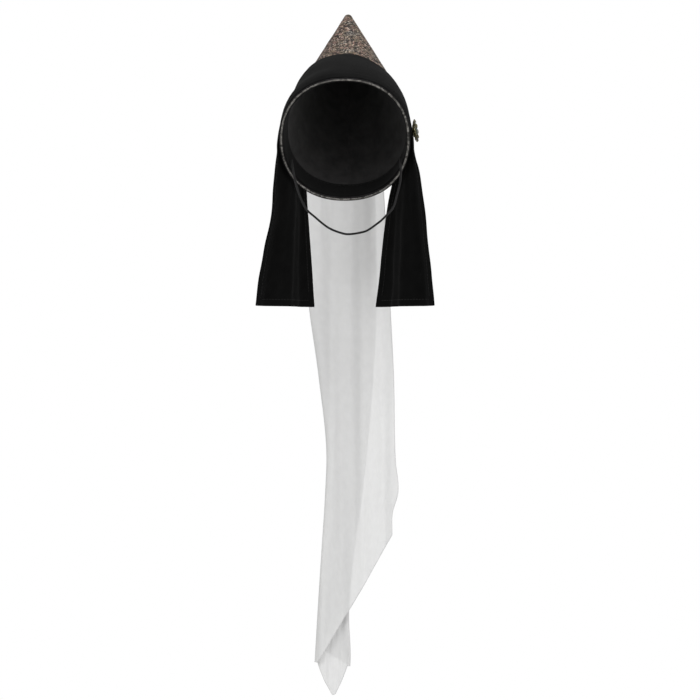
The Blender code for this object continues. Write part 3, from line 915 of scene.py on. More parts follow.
def antique_gold_material():
    """Antiqued brass, cast and gilded: pale where it is rubbed and nearly black in hollows."""
    brooch = bpy.context.scene.hennin_brooch
    material, tree, shader = new_material("antiqued_brass", {"Metallic": 1.0})
    place = millimetres(tree, False)
    stain = soft_noise(tree, place, 2.2, detail=4.0, roughness=0.65)
    tones = ((0.46, tuple(brooch.tarnish)), (0.62, tuple(brooch.gold)))
    # Casting grain 0.05 mm deep.
    finish_surface(tree, shader, {
        "Base Color": ramped(tree, stain, tones),
        "Roughness": spread(tree, stain, 0.55, 0.26, *NOISE_RANGE),
    }, soft_noise(tree, place, 0.5), strength=0.5, depth=0.00005)
    return material


def cut_glass_material(name, colour, depth_colour, clear):
    """Cut glass, foil backed and polished: clear flat facets over a faint cloud of colour."""
    material, tree, shader = new_material(name, {
        "Roughness": 0.03, "IOR": 1.55, "Transmission Weight": clear,
        "Coat Weight": 0.3, "Coat Roughness": 0.02,
    })
    cloud = soft_noise(tree, millimetres(tree, False), 3.0)
    tint = ramped(tree, cloud, ((0.35, from_hex(depth_colour)), (0.65, from_hex(colour))))
    tree.links.new(tint, shader.inputs["Base Color"])
    return material


def elastic_material():
    """Braided polyester over rubber: a dull cord with fine crossing ribs."""
    strap = bpy.context.scene.hennin_strap
    material, tree, shader = new_material("braided_elastic", {
        "Roughness": 0.7, "IOR": 1.5, "Specular IOR Level": 0.25, "Sheen Weight": 0.1,
    })
    fuzz = soft_noise(tree, millimetres(tree, False), 0.8, detail=3.0)
    finish_surface(tree, shader, {
        "Base Color": tinted(tree, tuple(strap.cord), spread(tree, fuzz, 0.6, 1.5, *NOISE_RANGE)),
    }, fuzz, strength=0.4, depth=0.0001)
    return material


def chiffon_material(name, cover):
    """Polyester chiffon, crepe twisted and woven open: soft white that lets light through."""
    veil = bpy.context.scene.hennin_veil
    material, tree, shader = new_material(name, {
        "Roughness": 0.85, "IOR": 1.45, "Specular IOR Level": 0.15, "Alpha": cover,
    })
    place = millimetres(tree, True)
    slub = soft_noise(tree, place, 12.0, detail=3.0, roughness=0.6)
    # Crepe threads lie 0.2 mm apart. They are drawn 0.9 mm apart so that the crinkle shows.
    finish_surface(tree, shader, {
        "Base Color": tinted(tree, tuple(veil.chiffon), spread(tree, slub, 0.97, 1.02, *NOISE_RANGE)),
    }, soft_noise(tree, place, 0.9), strength=0.35, depth=0.0001)
    return material


# Cone.

def cone_layout(turns, shares):
    """Flat pattern of the cone's cloth, cut as a fan that closes at a seam."""
    turns = np.append(turns, turns[0] + math.tau)
    apex = cone_points(turns, 1.0)
    measured = cone_points(turns, 0.3)
    reach = np.linalg.norm(measured - apex, axis=-1)
    angles = lengths_along(measured) / reach.mean()
    layout = []
    for share in shares:
        away = np.linalg.norm(cone_points(turns, min(share, 1.0)) - apex, axis=-1)
        away = away - max(share - 1.0, 0.0)
        layout.append(np.stack([away * np.cos(angles), away * np.sin(angles)], axis=-1))
    return np.array(layout)


def build_cone_piece():
    """Stiffened brocade cone with a black inside, gathered over its blunt tip."""
    cone = bpy.context.scene.hennin_cone
    turns = round_angles(CONE_COLUMNS) + SEAM_TURN
    # Rows lie closer where the cone draws in at the rim.
    shares = np.concatenate([np.linspace(0.0, 0.15, 16), np.linspace(0.165, 1.0, 70)])
    outside = cone_points(turns[None, :], shares[:, None])
    normals = cone_normals(turns[None, :], shares[:, None])
    from_seam = np.abs((turns - SEAM_TURN + math.pi) % math.tau - math.pi)
    radius = np.linalg.norm(outside - outside.mean(axis=1)[:, None], axis=-1)
    across_seam = from_seam[None, :] * radius
    # The seam's two turned edges make a low ridge with a line along its middle.
    ridge_height, ridge_reach = 0.0005, 0.0040
    line_depth, line_reach = 0.0006, 0.0008
    seam = ridge_height * np.exp(-(across_seam / ridge_reach) ** 2)
    seam = seam - line_depth * np.exp(-(across_seam / line_reach) ** 2)
    uneven = ripple(outside, depth=0.00035, size=0.045, seed=3.0)
    faded = np.clip((1.0 - shares[:, None]) / 0.2, 0.0, 1.0)
    middle = outside + normals * ((seam + uneven) * faded - 0.5 * cone.wall)[..., None]
    tip = tip_middle()
    axis = rise_direction(cone.rise)
    ring = cone_points(turns, 1.0) - tip
    # Sixteen small pleats draw the cloth in over the tip.
    pleats = 0.00028 * np.cos(16.0 * turns)
    cap = []
    for out, past, _ in TIP_CAP:
        raised = past + pleats * (1.0 - abs(2.0 * out - 1.0))
        cap.append(tip + ring * out + axis * raised[:, None])
    grid = np.concatenate([middle, np.array(cap)])
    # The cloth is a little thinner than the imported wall, and so leaves a gap to the facing.
    cloth_wall = cone.wall * 0.98
    layout = cone_layout(turns, np.append(shares, [share for _, _, share in TIP_CAP]))
    lining = woven_material("buckram_lining", cone.lining, thread_mm=0.9, roughness=0.9,
                            shine=0.12, sheen=0.05)
    piece = cloth_object("cone_cloth", grid, cloth_wall, [brocade_material(), lining],
                         layout, closed_columns=True)
    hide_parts("cone")


class HENNIN_OT_cone(bpy.types.Operator):
    """Build the brocade cone"""

    bl_idname = "hennin.cone"
    bl_label = "Cone"

    def execute(self, context):
        build_cone_piece()
        return {"FINISHED"}


# Frontlet and lappets.

def by_side(turn, left, right):
    """Value that changes softly from the right to the left over the top of the cone."""
    share = soft_step(0.5 + np.cos(turn) / 0.4)
    return left * share + right * (1.0 - share)


def frontlet_cover(turn):
    """Share of the cone that the frontlet covers at a turn."""
    band = bpy.context.scene.hennin_frontlet
    flare = by_side(turn, band.flare_left, band.flare_right)
    drawn = band.draw * soft_step((TOP_TURN - turn) / band.draw_turns)
    return band.share + flare * (1.0 - np.sin(turn)) * 0.8 - drawn


def frontlet_lift(turn, across):
    """How far the cloth's inside is off the cone."""
    band = bpy.context.scene.hennin_frontlet
    puff = by_side(turn, band.puff_left, band.puff_right)
    swell = smooth_line(FRONTLET_SWELL, 1, across)
    # It puffs out at the sides and lies closer over the top.
    sideways = 0.45 + 0.55 * np.abs(np.cos(turn))
    from_leaving = TOP_TURN - band.leaving - np.abs(turn - TOP_TURN)
    edge = by_side(turn, band.edge_left, band.edge_right)
    past_braid = edge * soft_step(1.0 - from_leaving / band.edge_turns)
    return GAP + puff * sideways * swell + past_braid * (1.0 - across) ** 2


def band_grid(turns, across):
    """Middle of the cloth where it lies on the cone, across by turns."""
    band = bpy.context.scene.hennin_frontlet
    turn = turns[None, :]
    place = across[:, None]
    lift = frontlet_lift(turn, place) + 0.5 * band.wall
    return off_cone(turn, place * frontlet_cover(turn), lift)


def lappet_grid(side, across, down):
    """Middle of a lappet's cloth, across by down. Side is 1 at the wearer's left."""
    band = bpy.context.scene.hennin_frontlet
    turn = band.leaving if side > 0 else math.pi - band.leaving
    start = band_grid(np.array([turn]), across)[:, 0]
    along = lengths_along(start)
    place = (along / along[-1])[:, None]
    column = 3 if side > 0 else 1
    front_fall = smooth_line(LAPPET_FALL, column, down)[None, :]
    rear_fall = smooth_line(LAPPET_FALL, column + 1, down)[None, :]
    fall = front_fall + (rear_fall - front_fall) * place
    end_out = side * (band.hem_front_out + (band.hem_rear_out - band.hem_front_out) * place)
    end_back = band.hem_front_back + (band.hem_rear_back - band.hem_front_back) * place
    settled = soft_step(down)[None, :]
    down = down[None, :]
    start = start[:, None, :]
    # Three soft half waves lie across a lappet, with ten finer and slanting ones on them.
    fine_wave = 0.0011
    wave = band.wave * settled * np.sin(3.0 * math.pi * place)
    finer = fine_wave * settled * np.sin(10.0 * math.pi * place + 2.0 * down)
    return np.stack([
        start[..., 0] + (end_out - start[..., 0]) * fall + side * (0.75 * wave + finer),
        start[..., 1] + (end_back - start[..., 1]) * settled + 0.65 * wave,
        start[..., 2] + (band.hem - start[..., 2]) * down,
    ], axis=-1)


def softened(grid, times):
    """Grid with its bends along the columns eased, but for the ends."""
    for _ in range(times):
        eased = 0.25 * grid[:, :-2] + 0.5 * grid[:, 1:-1] + 0.25 * grid[:, 2:]
        grid = np.concatenate([grid[:, :1], eased, grid[:, -1:]], axis=1)
    return grid


def inset_route(along, surface, outward, inset, from_end):
    """Points at an inset from one end of each row of a grid, and its outward ways there."""
    points = []
    ways = []
    for row_along, row_points, row_ways in zip(along, surface, outward):
        at = row_along[-1] - inset if from_end else inset
        points.append(at_lengths(at, row_along, row_points))
        ways.append(at_lengths(at, row_along, row_ways))
    return np.array(points), np.array(ways)


def build_frontlet_pieces():
    """Frontlet with turned edges, and the stitching along them."""
    band = bpy.context.scene.hennin_frontlet
    across_points, cone_columns, lappet_columns = 46, 150, 75
    across = np.linspace(0.0, 1.0, across_points)
    turns = np.linspace(band.leaving, math.pi - band.leaving, cone_columns)
    down = np.linspace(0.0, 1.0, lappet_columns + 1)[1:]
    grid = np.concatenate([
        lappet_grid(1, across, down)[:, ::-1],
        band_grid(turns, across),
        lappet_grid(-1, across, down),
    ], axis=1)
    grid = softened(grid, 3)
    # The cloth creases less where it lies on the cone.
    uneven = ripple(grid, depth=0.0010, size=0.035, seed=11.0)
    uneven = uneven + ripple(grid * (1.0, 1.0, 0.35), depth=0.0003, size=0.016, seed=5.0)
    uneven[:, lappet_columns:lappet_columns + cone_columns] *= 0.35
    grid = grid + grid_normals(grid) * uneven[..., None]
    layout = flat_layout(grid)
    from_front = layout[..., 1]
    from_rear = layout[-1:, :, 1] - layout[..., 1]
    from_left = layout[..., 0]
    from_right = layout[:, -1:, 0] - layout[..., 0]
    from_edge = np.minimum(np.minimum(from_front, from_rear), np.minimum(from_left, from_right))
    # Past its turned edge the cloth is thinner, with a step 1.5 mm wide.
    single, step_width = 0.62, 0.0015
    turned = 1.0 - soft_step((from_edge - band.hem_width) / step_width)
    wall = band.wall * (single + (1.0 - single) * turned)
    cloth = woven_material("black_crepe", band.cloth, thread_mm=0.8, roughness=0.95, shine=0.06,
                           sheen=0.01)
    piece = cloth_object("frontlet_cloth", grid, wall, [cloth], layout)
    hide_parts("frontlet")

    # Stitches lie on the outside, near the inner edge of the turned hem.
    outward = -grid_normals(grid)
    surface = grid + outward * (0.5 * wall)[..., None]
    inset = band.hem_width * 0.82
    parts = []
    for along, points, ways, corner in (
        (layout[..., 1].T, np.swapaxes(surface, 0, 1), np.swapaxes(outward, 0, 1), 4),
        (layout[..., 0], surface, outward, 3),
    ):
        rows = slice(corner, -corner)
        for from_end in (False, True):
            route = inset_route(along[rows], points[rows], ways[rows], inset, from_end)
            parts += stitch_parts(*route, band.stitch, FRONTLET_STITCH_RADIUS)
    stitches = parts_object("frontlet_stitches", parts, thread_material("sewing_thread"))


class HENNIN_OT_frontlet(bpy.types.Operator):
    """Build the frontlet, its lappets and its stitches"""

    bl_idname = "hennin.frontlet"
    bl_label = "Frontlet"

    def execute(self, context):
        build_frontlet_pieces()
        return {"FINISHED"}


# Rim.

def rim_path(turns):
    """Middle of the braid at each turn, and its outward direction."""
    cone = bpy.context.scene.hennin_cone
    rim = bpy.context.scene.hennin_rim
    band = bpy.context.scene.hennin_frontlet
    face_side = -rise_direction(cone.rim_rise)
    tangent = unit(cone_points(turns + TURN_STEP, 0.0) - cone_points(turns - TURN_STEP, 0.0))
    outward = unit(np.cross(-face_side, tangent))
    inward = 0.5 * (cone.wall + rim.facing_wall - band.wall)
    middle = cone_points(turns, 0.0) - outward * inward
    middle = middle + face_side * (rim.braid_gap + 0.5 * rim.braid_thickness)
    return middle, outward, face_side


def even_rim(count):
    """Braid middle, outward direction and face direction at equal steps round the rim."""
    fine_steps = 720
    turns = np.linspace(0.0, math.tau, fine_steps + 1)
    along = lengths_along(rim_path(turns)[0])
    wanted = np.linspace(0.0, along[-1], count, endpoint=False)
    return rim_path(np.interp(wanted, along, turns))


def strand_part(phase, count, plaits, reach, rise, radius, flat):
    """One strand of those that cross in the braid."""
    middle, outward, face_side = even_rim(count)
    angle = math.tau * plaits * np.arange(count) / count + phase
    path = (middle + outward * (reach * np.sin(angle))[:, None]
            + face_side * (rise * np.sin(2.0 * angle))[:, None])
    return tube_part(path, radius, 8, closed=True, flat=flat, upright=face_side)


def build_rim_pieces():
    """Facing inside the rim, and the plaited braid along its edge."""
    cone = bpy.context.scene.hennin_cone
    rim = bpy.context.scene.hennin_rim
    turns = round_angles(CONE_COLUMNS) + SEAM_TURN
    once_round = np.append(turns, turns[0] + math.tau)
    shares = np.linspace(0.003, rim.facing_share, 16)
    lift = -(cone.wall + GAP + 0.5 * rim.facing_wall)
    grid = off_cone(turns[None, :], shares[:, None], lift)
    waves = ripple(grid, depth=0.00012, size=0.02, seed=7.0)
    grid = grid - cone_normals(turns[None, :], shares[:, None]) * waves[..., None]
    layout = np.stack(np.broadcast_arrays(
        lengths_along(cone_points(once_round, 0.05))[None, :],
        (shares * cone.length)[:, None],
    ), axis=-1)
    facing_cloth = woven_material("cotton_twill_facing", rim.facing, thread_mm=0.9,
                                  roughness=0.9, shine=0.12, sheen=0.04, ribs=True)
    facing = cloth_object("facing_cloth", grid, rim.facing_wall, [facing_cloth], layout,
                          closed_columns=True)
    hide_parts("rim_facing")

    # Three bright strands cross over a dark flat core, between two dark edge cords.
    count = rim.plaits * 16
    reach = 0.8 * (0.5 * rim.braid_width - rim.strand - 2.0 * rim.edge_cord)
    rise, strand_flat = 0.00035, 0.75
    silver = [
        strand_part(phase, count, rim.plaits, reach, rise, rim.strand, strand_flat)
        for phase in round_angles(3)
    ]
    silver_thread = metal_thread_material("silver_lurex", rim.silver, roughness=0.38)
    bright = parts_object("braid_silver", silver, silver_thread)
    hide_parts("rim_braid")
    middle, outward, face_side = even_rim(720)
    twist_length, twist_depth = 0.0018, 0.14
    core_depth, core_flat = 0.0006, 0.38

    def twisted(along, angle):
        """Two strands twisted round each other."""
        return 1.0 + twist_depth * np.cos(2.0 * angle + math.tau / twist_length * along)

    side_way = 0.5 * rim.braid_width - rim.edge_cord
    dark = [
        tube_part(middle + outward * side * side_way, rim.edge_cord, 8, closed=True,
                  upright=face_side, relief=twisted)
        for side in (-1.0, 1.0)
    ]
    dark.append(tube_part(middle - face_side * core_depth, side_way, 10, closed=True,
                          flat=core_flat, upright=face_side))
    pewter_thread = metal_thread_material("pewter_lurex", rim.pewter, roughness=0.5)
    shaded = parts_object("braid_pewter", dark, pewter_thread)
    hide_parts("rim_braid")

    # The facing is sewn down along its inner edge.
    sewn_share = rim.facing_share * 0.9
    route = off_cone(once_round, sewn_share, -(cone.wall + GAP + rim.facing_wall))
    ways = -cone_normals(once_round, sewn_share)
    sewn = stitch_parts(route, ways, FACING_STITCH, FACING_STITCH_RADIUS)
    stitches = parts_object("facing_stitches", sewn, thread_material("facing_thread"))


class HENNIN_OT_rim(bpy.types.Operator):
    """Build the facing and the braid of the rim"""

    bl_idname = "hennin.rim"
    bl_label = "Rim"

    def execute(self, context):
        build_rim_pieces()
        return {"FINISHED"}


# Brooch.

def brooch_frame():
    """Origin behind the brooch, and its directions back, up and out."""
    band = bpy.context.scene.hennin_frontlet
    brooch = bpy.context.scene.hennin_brooch
    across = brooch.share / float(frontlet_cover(brooch.turn))
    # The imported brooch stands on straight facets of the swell, so its table is read straight.
    swell = np.interp(across, *np.array(FRONTLET_SWELL).T)
    rounded = frontlet_lift(brooch.turn, across)
    rounded = rounded - band.puff_left * smooth_line(FRONTLET_SWELL, 1, across)
    lift = float(rounded) + band.puff_left * float(swell) + band.wall + brooch.stand
    origin = off_cone(brooch.turn, brooch.share, lift)
    out = unit(np.array([1.0, -math.tan(brooch.to_front), math.tan(brooch.to_top)]))
    up = np.array([0.0, 0.0, 1.0])
    up = unit(up - out * np.dot(up, out))
    back = np.cross(up, out)
    return origin, back, up, out


def placed(frame_of, points):
    """Points given as (back, up, out) of the brooch, in the hat's frame."""
    origin, back, up, out = frame_of
    points = np.asarray(points, float)
    return (origin + points[..., 0:1] * back + points[..., 1:2] * up + points[..., 2:3] * out)


def petal_parts(frame_of, angle, inner, outer, width, low, high, wire):
    """Cupped petal with a raised vein and a wire round its edge."""
    brooch = bpy.context.scene.hennin_brooch
    heading = np.array([brooch.half_width * math.cos(angle), brooch.half_height * math.sin(angle)])
    start = heading * inner
    end = heading * outer
    way = unit(end - start)
    across_way = np.array([-way[1], way[0]])
    rows, columns = 13, 11
    thick, cup_depth, vein_height = 0.0004, 0.0009, 0.00035
    share = np.linspace(0.0, 1.0, rows)[:, None]
    side = np.linspace(-1.0, 1.0, columns)[None, :]
    # The petal widens from its root, and its last part is rounded.
    half = width * (0.34 + 0.66 * np.sin(math.pi * np.minimum(share * 0.62 + 0.12, 1.0)))
    rounded = 1.0 - (np.maximum(share - 0.55, 0.0) / 0.45) ** 2
    half = half * np.sqrt(np.maximum(rounded, 0.0004))
    height = (low + (high - low) * share ** 1.6
              + cup_depth * side * side * np.sin(math.pi * share)
              + vein_height * np.exp(-(side / 0.16) ** 2))
    flat_place = (start + (end - start) * share[..., None]
                  + across_way * (half * side)[..., None])
    surface = np.concatenate([flat_place, height[..., None]], axis=-1)
    points_top, faces = grid_part(placed(frame_of, surface + (0.0, 0.0, thick)))
    points_low = placed(frame_of, surface).reshape(-1, 3)
    count = rows * columns
    faces += [tuple(count + index for index in reversed(face)) for face in faces]
    loop = [row * columns + column for row, column in border_loops(rows, columns, False)[0]]
    for first, second in zip(loop, loop[1:] + loop[:1]):
        faces.append((first, second, count + second, count + first))
    edge = np.concatenate([surface[:, 0], surface[-1, 1:-1], surface[::-1, -1]])
    edge = evenly_spaced(placed(frame_of, edge + (0.0, 0.0, 0.5 * thick)), 30)
    return [(np.vstack([points_top, points_low]), faces), tube_part(edge, wire, 7)]


def brooch_ring(count, share, height):
    """Ring of points round the brooch, at a share of its half sizes."""
    brooch = bpy.context.scene.hennin_brooch
    return oval_ring(round_angles(count), brooch.half_width * share, brooch.half_height * share,
                     height)


def build_brooch_pieces():
    """Cast brooch: cupped petals, beads and a bezel round the stones."""
    brooch = bpy.context.scene.hennin_brooch
    frame_of = brooch_frame()
    height = brooch.height
    step = math.tau / brooch.petals
    parts = []
    for index in range(brooch.petals):
        for turned, inner, outer, width, low, high, wire in PETAL_ROWS:
            parts += petal_parts(frame_of, (index + turned) * step, inner, outer, width, low,
                                 high * height, wire * brooch.wire)
    plate = np.array([brooch_ring(60, share, level) for share, level in BROOCH_PLATE])
    parts.append(grid_part(placed(frame_of, plate), closed_columns=True, caps=True))
    seat = brooch.stone_share
    bezel = (
        (seat + 0.015, 0.0008),
        (seat + 0.10, 0.0008),
        (seat + 0.09, 0.70 * height),
        (seat + 0.05, height),
        (seat + 0.028, height + 0.0001),
        (seat + 0.016, 0.94 * height),
        (seat + 0.016, 0.60 * height),
    )
    # Twenty small teeth on top of the bezel hold the stone.
    teeth = 0.00018 * np.cos(20.0 * round_angles(60))
    rings = [brooch_ring(60, share, level + teeth * (level > 0.9 * height))
             for share, level in bezel]
    parts.append(grid_part(placed(frame_of, np.array(rings)), closed_rows=True,
                           closed_columns=True))
    bead_radius, knob_radius, stem_radius = 0.00052, 0.0011, 0.0005
    bead_share, bead_height = seat + 0.145, 0.0019
    for middle in placed(frame_of, brooch_ring(30, bead_share, bead_height)):
        parts.append(bead_part(middle, bead_radius, 10, 6))
    base = 0.74 * height
    cup = (
        (0.00100, 0.0006),
        (0.00140, 0.5 * base),
        (0.00205, base),
        (0.00205, base + 0.0009),
        (0.00172, base + 0.0009),
        (0.00165, base + 0.0001),
    )
    for side in (-brooch.half_height, brooch.half_height):
        rings = [oval_ring(round_angles(20), radius, radius, level, (0.0, 0.72 * side))
                 for radius, level in cup]
        parts.append(grid_part(placed(frame_of, np.array(rings)), closed_columns=True, caps=True))
        stem = placed(frame_of, [
            (0.0, 0.55 * side, 0.0012), (0.0, 0.80 * side, 0.0010), (0.0, 0.98 * side, 0.0026),
        ])
        parts.append(tube_part(smooth_route(stem, 5), stem_radius, 8))
        parts.append(bead_part(placed(frame_of, (0.0, 0.98 * side, 0.0030)), knob_radius))
    gilt_brass = antique_gold_material()
    setting = parts_object("brooch_gilt", parts, gilt_brass)
    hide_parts("brooch_setting")

    finishes = {
        "brooch_stone": cut_glass_material("green_cut_glass", "#3E4A33", "#141A10", 0.35),
        "brooch_stone_top": cut_glass_material("clear_cut_glass", "#FFFFFF", "#D8D8D0", 0.7),
        "brooch_stone_low": cut_glass_material("navy_cut_glass", "#23233A", "#0B0B12", 0.3),
        "brooch_pin": gilt_brass,
    }
    for name, material in finishes.items():
        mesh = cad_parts[name].data
        mesh.materials.clear()
        mesh.materials.append(material)


class HENNIN_OT_brooch(bpy.types.Operator):
    """Build the brooch and finish its stones"""

    bl_idname = "hennin.brooch"
    bl_label = "Brooch"

    def execute(self, context):
        build_brooch_pieces()
        return {"FINISHED"}


# Elastic.

def strap_route():
    """Points that the elastic follows, from the wearer's right to the left."""
    cone = bpy.context.scene.hennin_cone
    rim = bpy.context.scene.hennin_rim
    strap = bpy.context.scene.hennin_strap
    off_facing = 0.0009
    lift = -(cone.wall + GAP + rim.facing_wall + off_facing + strap.radius)
    points = [
        (strap.half_width * out, -strap.chin_front * front, -strap.chin_drop * down)
        for out, down, front in STRAP_ROUTE
    ]
    first = off_cone(math.pi - strap.turn, strap.share, lift)
    last = off_cone(strap.turn, strap.share, lift)
    return smooth_route([first, *points, last], 4)


def build_strap_pieces():
    """Round elastic with a braided cover, sewn to the facing at both ends."""
    strap = bpy.context.scene.hennin_strap
    route = strap_route()
    path = evenly_spaced(smooth_route(route, 4), 420)
    braid_length, rib_height = 0.0034, 0.045
    pitch = math.tau / braid_length

    def ribs(along, angle):
        """Two sets of threads that cross."""
        one = np.cos(4.0 * angle + pitch * along)
        other = np.cos(4.0 * angle - pitch * along)
        return 0.97 + rib_height * one * other

    parts = [tube_part(path, strap.radius, 20, relief=ribs)]
    piece = parts_object("elastic_cord", parts, elastic_material())
    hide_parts("chin_strap")


class HENNIN_OT_strap(bpy.types.Operator):
    """Build the elastic under the chin"""

    bl_idname = "hennin.strap"
    bl_label = "Elastic"

    def execute(self, context):
        build_strap_pieces()
        return {"FINISHED"}


# Veil.

def veil_columns():
    """Layer of each column of the veil, share of the way across it, and bend on a fold."""
    columns = []
    for layer in range(4):
        columns += [(layer, step / 24.0, None) for step in range(25)]
        if layer < 3:
            columns += [(layer, 1.0, bend) for bend in (0.25, 0.5, 0.75)]
    return columns


def veil_folds(down, columns):
    """How far each point of the veil is out from the tip's middle, and back through the layers."""
    veil = bpy.context.scene.hennin_veil
    lines = [veil.half_width * smooth_line(VEIL_LINES, 1 + line, down) for line in range(5)]
    steps = veil.gather_step + (veil.layer_step - veil.gather_step) * soft_step(down / 0.25)
    out = np.zeros_like(down)
    back = np.zeros_like(down)
    for index, (layer, across, bend) in enumerate(columns):
        # The sheet goes to the wearer's right in even layers and comes back in odd ones.
        heading = -1.0 if layer % 2 == 0 else 1.0
        step = steps[:, index]
        turn = heading * 0.5 * step
        start = lines[layer][:, index] + (turn if layer > 0 else 0.0)
        end = lines[layer + 1][:, index] - (turn if layer < 3 else 0.0)
        if bend is None:
            out[:, index] = start + (end - start) * across
            back[:, index] = layer * step
        else:
            angle = math.pi * (bend - 0.5)
            out[:, index] = end + turn * math.cos(angle)
            back[:, index] = (layer + 0.5 + 0.5 * math.sin(angle)) * step
    return out, back


def build_veil_pieces():
    """Folded chiffon sheet, its rolled hem and the thread that binds its gathers."""
    veil = bpy.context.scene.hennin_veil
    columns = veil_columns()
    share = np.linspace(0.0, 1.0, 190)[:, None]
    passed = [layer + across for layer, across, _ in columns]
    hem = np.interp(passed, *np.array(VEIL_HEM).T)
    down = share * hem[None, :]
    out, back = veil_folds(down, columns)
    tip = tip_middle()
    start_back = cone_points(SEAM_TURN, 1.0)[1] + GAP + 0.5 * veil.wall
    growth = soft_step(down / 0.3)
    # Finer folds lie on the large ones, and the finest start at the gathers.
    fine_depth, finest_depth = 0.0012, 0.0006
    turns = math.tau / veil.wave_length
    wave = veil.wave * growth * np.sin(turns * out + 3.0 * down)
    wave = wave + fine_depth * growth * np.sin(2.6 * turns * out + 1.7 - 5.0 * down)
    wave = wave + (finest_depth * soft_step(down / 0.06)
                   * np.sin(6.0 * turns * out + 9.0 * down))
    grid = np.stack([
        tip[0] + out,
        start_back + veil.wave * growth + back + wave,
        tip[2] - veil.drop * down,
    ], axis=-1)
    grid[..., 1] += growth * ripple(grid * (1.0, 1.0, 0.4), depth=0.0014, size=0.03, seed=2.0)
    points, faces = grid_part(grid)
    mesh = new_mesh("veil_chiffon", points, faces)
    map_cloth(mesh, flat_layout(grid).reshape(-1, 2)[np.array(faces).ravel()])
    mesh.shade_smooth()
    sheet = show("veil_chiffon", mesh, [chiffon_material("white_chiffon", veil.cover)])
    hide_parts("veil")

    hem_parts = [tube_part(evenly_spaced(path, 260), veil.hem, 6, flat=0.7)
                 for path in (grid[:, 0], grid[-1], grid[:, -1])]
    hem_piece = parts_object("veil_hem", hem_parts, chiffon_material("rolled_chiffon", cover=0.85))

    # Thread wound five times round the gathers, 3.5 mm below the tip and lower.
    thread_radius, thread_step, below_tip = 0.00045, 0.0009, 0.0035
    low, high = grid[3].min(axis=0), grid[3].max(axis=0)
    middle = 0.5 * (low + high)
    half = 0.5 * (high - low)
    angles = round_angles(40)
    binding = []
    for turn in range(5):
        level = tip[2] - below_tip - thread_step * turn + 0.0003 * np.sin(angles)
        ring = oval_ring(angles, half[0] + 0.0004, half[1] + 0.0002, level, middle)
        binding.append(tube_part(ring, thread_radius, 7, closed=True))
    bound = parts_object("veil_binding", binding, chiffon_material("binding_thread", cover=1.0))


class HENNIN_OT_veil(bpy.types.Operator):
    """Build the veil with its hem and binding"""

    bl_idname = "hennin.veil"
    bl_label = "Veil"

    def execute(self, context):
        build_veil_pieces()
        return {"FINISHED"}


# Stage.

def add_light(name, place, aim, size, power):
    """Square soft light that points at a place."""
    data = bpy.data.lights.new(name, "AREA")
    data.size = size
    data.energy = power
    light = linked(name, data)
    light.location = place
    light.rotation_euler = (Vector(aim) - Vector(place)).to_track_quat("-Z", "Y").to_euler()


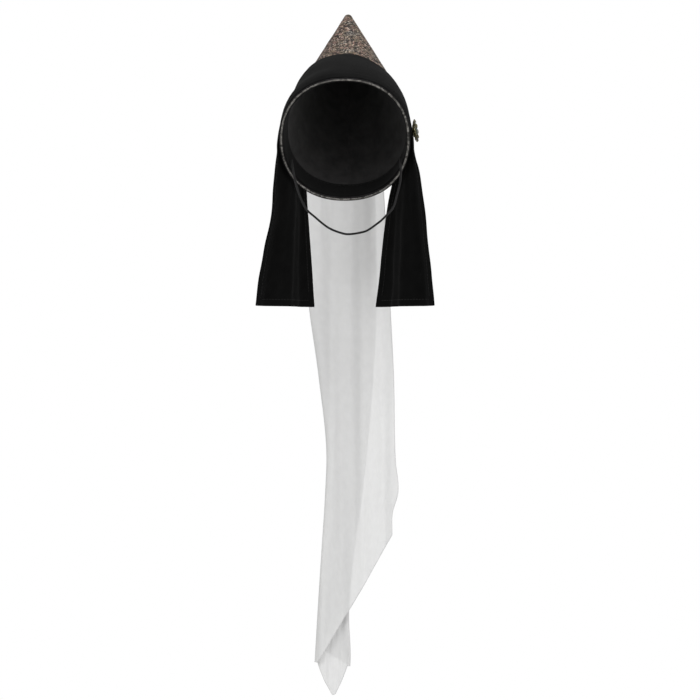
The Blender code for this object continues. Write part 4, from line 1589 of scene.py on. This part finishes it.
def build_stage():
    """Camera, soft white light and a plain pale floor."""
    stage = bpy.context.scene.hennin_stage
    scene = bpy.context.scene
    camera_data = bpy.data.cameras.new("camera")
    camera_data.lens = stage.lens
    camera_data.sensor_width = 36.0
    camera = linked("camera", camera_data)
    camera.location = (stage.camera_side, -stage.camera_front, stage.camera_height)
    camera.rotation_euler = (0.5 * math.pi, 0.0, 0.0)
    scene.camera = camera

    world = bpy.data.worlds.new("soft_room")
    scene.world = world
    world.use_nodes = True
    tree = world.node_tree
    tree.nodes.clear()
    room, seen = [add_node(tree, "ShaderNodeBackground", {
        "Color": (1.0, 1.0, 1.0, 1.0), "Strength": strength,
    }).outputs[0] for strength in (stage.room, stage.backdrop)]
    path = add_node(tree, "ShaderNodeLightPath")
    both = add_node(tree, "ShaderNodeMixShader", {
        0: path.outputs["Is Camera Ray"], 1: room, 2: seen,
    })
    add_node(tree, "ShaderNodeOutputWorld", {"Surface": both.outputs[0]})
    scene.view_settings.view_transform = "Standard"
    scene.view_settings.look = "None"

    for name, place, aim, size, share in LIGHTS:
        add_light(name, place, aim, size, share * stage.key)

    rings = [oval_ring(round_angles(96), radius, radius, stage.floor)
             for radius in np.linspace(0.05, stage.floor_radius, 12)]
    points, faces = grid_part(np.array(rings), closed_columns=True)
    faces.append(tuple(range(96)))
    mesh = new_mesh("floor", points, faces)
    material, _, _ = new_material("painted_floor", {
        "Base Color": (*from_hex("#F2F2F0"), 1.0), "Roughness": 0.9, "Specular IOR Level": 0.1,
    })
    mesh.materials.append(material)
    floor = linked("floor", mesh)


class HENNIN_OT_stage(bpy.types.Operator):
    """Build the camera, lights and floor"""

    bl_idname = "hennin.stage"
    bl_label = "Stage"

    def execute(self, context):
        build_stage()
        return {"FINISHED"}


class HENNIN_PT_panel(bpy.types.Panel):
    """Lists the steps that build the hat"""

    bl_idname = "HENNIN_PT_panel"
    bl_label = "Hennin"
    bl_space_type = "VIEW_3D"
    bl_region_type = "UI"
    bl_category = "Hennin"

    def draw(self, context):
        for operator in OPERATORS:
            self.layout.operator(operator.bl_idname)


OPERATORS = (
    HENNIN_OT_stage,
    HENNIN_OT_strap,
    HENNIN_OT_cone,
    HENNIN_OT_frontlet,
    HENNIN_OT_rim,
    HENNIN_OT_brooch,
    HENNIN_OT_veil,
)


def register():
    """Register the settings, the operators and the panel."""
    for name, group in SETTINGS:
        bpy.utils.register_class(group)
        setattr(bpy.types.Scene, name, PointerProperty(type=group))
    for operator in OPERATORS:
        bpy.utils.register_class(operator)
    bpy.utils.register_class(HENNIN_PT_panel)


def unregister():
    """Take the panel, the operators and the settings away again."""
    bpy.utils.unregister_class(HENNIN_PT_panel)
    for operator in reversed(OPERATORS):
        bpy.utils.unregister_class(operator)
    for name, group in reversed(SETTINGS):
        delattr(bpy.types.Scene, name)
        bpy.utils.unregister_class(group)


def main():
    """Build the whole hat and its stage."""
    register()
    bpy.ops.hennin.stage()
    bpy.ops.hennin.strap()
    bpy.ops.hennin.cone()
    bpy.ops.hennin.frontlet()
    bpy.ops.hennin.rim()
    bpy.ops.hennin.brooch()
    bpy.ops.hennin.veil()


if __name__ == "__main__":
    main()
